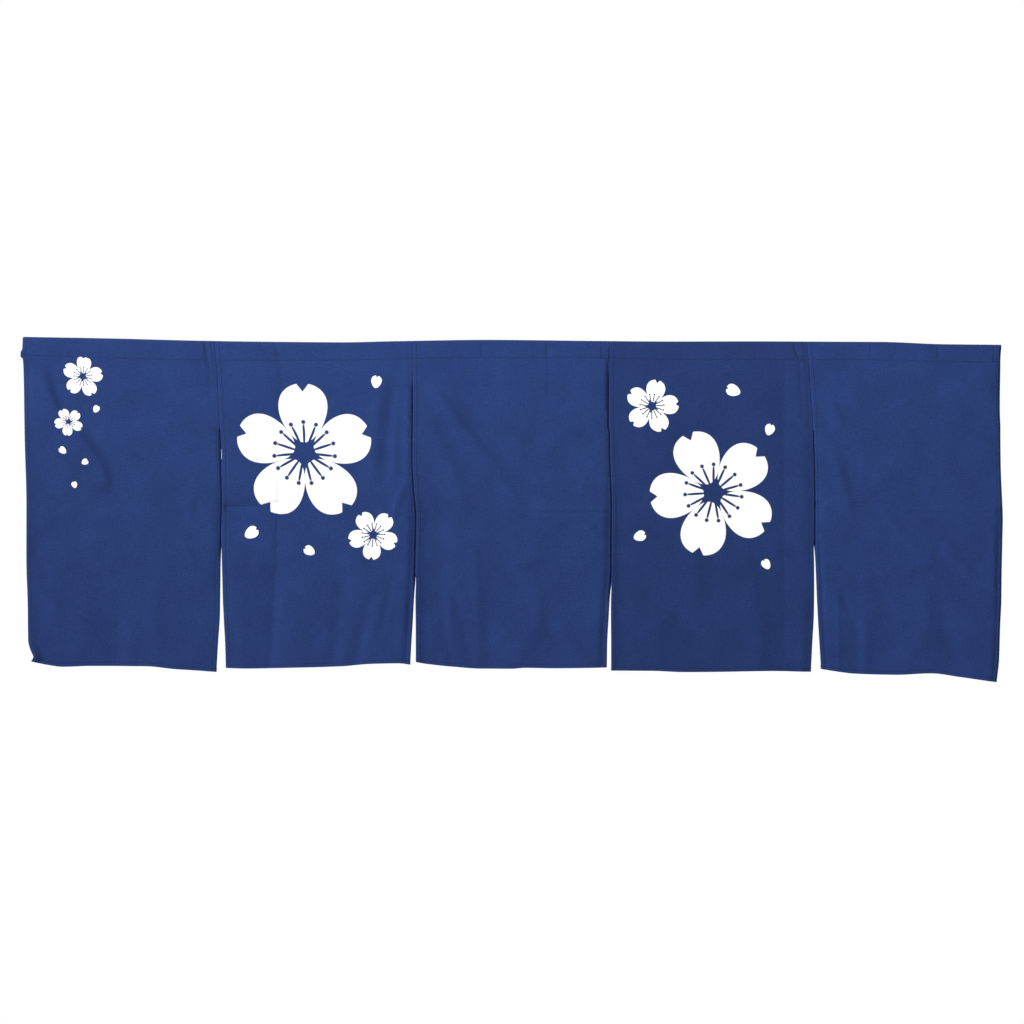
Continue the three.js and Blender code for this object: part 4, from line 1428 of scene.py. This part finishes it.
def cloth_relief(wire, weave, edges):
    """The normal of the cloth's fine relief: its weave, and the sewing's grooves and puckers."""
    woven = wire.add("ShaderNodeBump", {
        "Height": weave["Height"], "Strength": 0.5, "Distance": WEAVE_RELIEF})
    pucker = wire.math("SUBTRACT", edges["Pucker"], edges["Groove"])
    sewn = wire.add("ShaderNodeBump", {
        "Height": pucker, "Strength": 1.0, "Distance": SEWN_RELIEF, "Normal": woven.outputs[0]})
    return sewn.outputs[0]


def new_material(name):
    """A new material, with its wiring and its shader's sockets."""
    material = bpy.data.materials.new(name)
    material.use_nodes = True
    tree = material.node_tree
    return material, Wiring(tree), tree.nodes["Principled BSDF"].inputs


def cotton_material(panel_index, groups):
    """One panel's indigo cotton, with its weave, dye, sewn edges and white blossoms."""
    panel = PANELS[panel_index]
    material, wire, shader = new_material("indigo_cotton_" + str(panel_index + 1))
    place = wire.add("ShaderNodeTexCoord").outputs["Object"]
    flat = wire.add("ShaderNodeUVMap", uv_map="flat_cut").outputs[0]
    lines = wire.add("ShaderNodeAttribute", attribute_name="hem_lines").outputs["Vector"]
    weave = wire.group(groups["weave"], {
        "Flat Cut": flat, "Thread Pitch": WEAVE_PITCH, "Slub": SLUB})
    edges = wire.group(groups["edges"], {"Hem Lines": lines, "Flat Cut": flat})

    left_edge = float(side_edges(panel_index, DROP / 2)["left"])
    tone_and_painted_light = dye_and_painted_light(wire, flat, panel, left_edge)
    dye_and_shade = dye_wear_and_painted_shade(wire, place, tone_and_painted_light, edges, weave["Shade"])
    fibre = wire.noise(flat, FIBRE_SCALE, 1.0)
    wire.feed(shader, {
        "Base Color": with_blossoms(wire, groups, flat, panel_index, dye_and_shade, weave["Shade"]),
        "Roughness": wire.math("MULTIPLY_ADD", fibre, FIBRE_ROUGHNESS, COTTON_ROUGHNESS),
        "Normal": cloth_relief(wire, weave, edges),
    })
    for name, value in COTTON_SURFACE.items():
        shader[name].default_value = value
    return material


def thread_material():
    """Twisted sewing thread, a little darker than the cloth."""
    material, wire, shader = new_material("indigo_thread")
    place = wire.add("ShaderNodeTexCoord").outputs["Object"]
    twist = wire.noise(place, TWIST_SCALE, 1.0)
    bump = wire.add("ShaderNodeBump", {
        "Height": twist, "Strength": 0.6, "Distance": TWIST_RELIEF})
    wire.feed(shader, {
        "Base Color": wire.mix(wire.math("MULTIPLY", twist, THREAD_FADE), THREAD_BLUE, INDIGO),
        "Normal": bump.outputs[0],
    })
    shader["Roughness"].default_value = THREAD_ROUGHNESS
    return material


# ---- The studio --------------------------------------------------------------------------------

CAMERA_DISTANCE = 4.0
CAMERA_AIM = Vector((0.0009, 0.0, -0.2969))
VIEW_WIDTH = 1.7779
CAMERA_ROLL = math.radians(0.2602)
SENSOR = 36.0
FLOOR_DOWN = 2.0
FLOOR_HALF = 3.0
FLOOR_GRAIN = 40.0
FLOOR_ROUGHNESS = 0.8
GLOW = 0.15                # the strength of the light from all round

KEY_SUN = {"towards": (1.155, 1.0, 0.0), "strength": 2.66, "softness": math.radians(24)}
BACK_SUN = {"towards": (-0.25, -1.0, -0.55), "strength": 2.9, "softness": math.radians(36)}
TOP_LIGHT = {
    "place": (-0.27, -0.83, 0.65),
    "size": (3.28, 0.38),
    "power": 19.7,
    "aim": (-0.08, 0, -0.05),
}


def add_camera():
    """A camera square to the curtain's face, with the slight roll of the view."""
    data = bpy.data.cameras.new("camera")
    data.sensor_width = SENSOR
    data.lens = SENSOR * CAMERA_DISTANCE / VIEW_WIDTH
    camera = bpy.data.objects.new("camera", data)
    bpy.context.scene.collection.objects.link(camera)
    camera.location = CAMERA_AIM - Vector((0, CAMERA_DISTANCE, 0))
    facing = Matrix.Rotation(math.radians(90), 4, "X") @ Matrix.Rotation(CAMERA_ROLL, 4, "Z")
    camera.rotation_euler = facing.to_euler()
    bpy.context.scene.camera = camera


def add_sun(name, towards, strength, softness):
    """An even light that comes from one side with soft shadows."""
    data = bpy.data.lights.new(name, "SUN")
    data.energy = strength
    data.angle = softness
    light = bpy.data.objects.new(name, data)
    bpy.context.scene.collection.objects.link(light)
    light.rotation_euler = Vector(towards).to_track_quat("-Z", "Y").to_euler()


def add_light(name, place, size, power, aim):
    """A soft light aimed at a place, as wide and as high as its size."""
    data = bpy.data.lights.new(name, "AREA")
    data.shape = "RECTANGLE"
    data.size, data.size_y = size
    data.energy = power
    light = bpy.data.objects.new(name, data)
    bpy.context.scene.collection.objects.link(light)
    light.location = place
    light.rotation_euler = (Vector(aim) - Vector(place)).to_track_quat("-Z", "Y").to_euler()


def add_world():
    """White all round for the eye, and a softer white for its light."""
    world = bpy.data.worlds.new("studio")
    world.use_nodes = True
    bpy.context.scene.world = world
    tree = world.node_tree
    wire = Wiring(tree)
    tree.nodes.clear()
    seen = wire.add("ShaderNodeLightPath").outputs["Is Camera Ray"]
    around = wire.add("ShaderNodeBackground", {"Color": (1, 1, 1, 1), "Strength": GLOW})
    backdrop = wire.add("ShaderNodeBackground", {"Color": (1, 1, 1, 1), "Strength": 1.0})
    both = wire.add("ShaderNodeMixShader", {0: seen, 1: around.outputs[0], 2: backdrop.outputs[0]})
    wire.add("ShaderNodeOutputWorld", {"Surface": both.outputs[0]})


def add_floor():
    """A pale floor, a doorway's height below the curtain's top."""
    half = FLOOR_HALF
    corners = [(-half, -half), (half, -half), (half, half), (-half, half)]
    floor = mesh_object("floor", [(x, y, -FLOOR_DOWN) for x, y in corners], faces=[(0, 1, 2, 3)])
    material, wire, shader = new_material("pale_floor")
    place = wire.add("ShaderNodeTexCoord").outputs["Object"]
    grain = wire.noise(place, FLOOR_GRAIN, 4.0)
    wire.feed(shader, {"Base Color": wire.mix(grain, FLOOR_GREY, FLOOR_PALE)})
    shader["Roughness"].default_value = FLOOR_ROUGHNESS
    floor.data.materials.append(material)


def set_tones():
    """Plain tones: a white that is white and a blue that keeps its depth."""
    view = bpy.context.scene.view_settings
    view.view_transform = "Standard"
    view.look = "None"


# ---- Putting it together -----------------------------------------------------------------------


def shader_groups():
    """The node groups that the materials share."""
    petal = petal_group()
    return {
        "weave": plain_weave_group(),
        "edges": sewn_edges_group(),
        "blossom": blossom_group(petal),
        "loose_petal": loose_petal_group(petal),
    }


def add_panel(panel_index, cloth, groups, tree):
    """One panel and the sewing on it."""
    panel = PANELS[panel_index]
    number = str(panel_index + 1)
    piece = panel_object("cloth_" + number, cloth, cotton_material(panel_index, groups))
    lines = stitch_lines(cloth)
    for tack in BACK_TACKS:
        if tack["panel"] == panel_index:
            lines += back_tack_lines(cloth, tack)
    sewing = sewn_lines("stitching_" + number, lines, tree, STITCH_PITCH, STITCH_LENGTH)
    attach(piece, "root")
    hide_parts(panel["name"])
    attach(sewing, "root")


def add_seam(border_index, cloths, tree):
    """The oversewn join above one slit."""
    line = seam_line(cloths, border_index, SEAM_ENDS[border_index])
    seam = sewn_lines("seam_" + str(border_index), [line], tree, SEAM_PITCH, SEAM_STITCH, SEAM_SLANT)
    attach(seam, "root")


def add_curtain():
    """The five panels and the seams between them."""
    tree = stitches_tree(thread_material())
    groups = shader_groups()
    cloths = [panel_cloth(k) for k in range(len(PANELS))]
    for panel_index, cloth in enumerate(cloths):
        add_panel(panel_index, cloth, groups, tree)
    for border_index in SEAM_ENDS:
        add_seam(border_index, cloths, tree)


add_camera()
set_tones()
add_world()
add_sun("key", **KEY_SUN)
add_sun("behind", **BACK_SUN)
add_light("top", **TOP_LIGHT)
add_floor()
add_curtain()
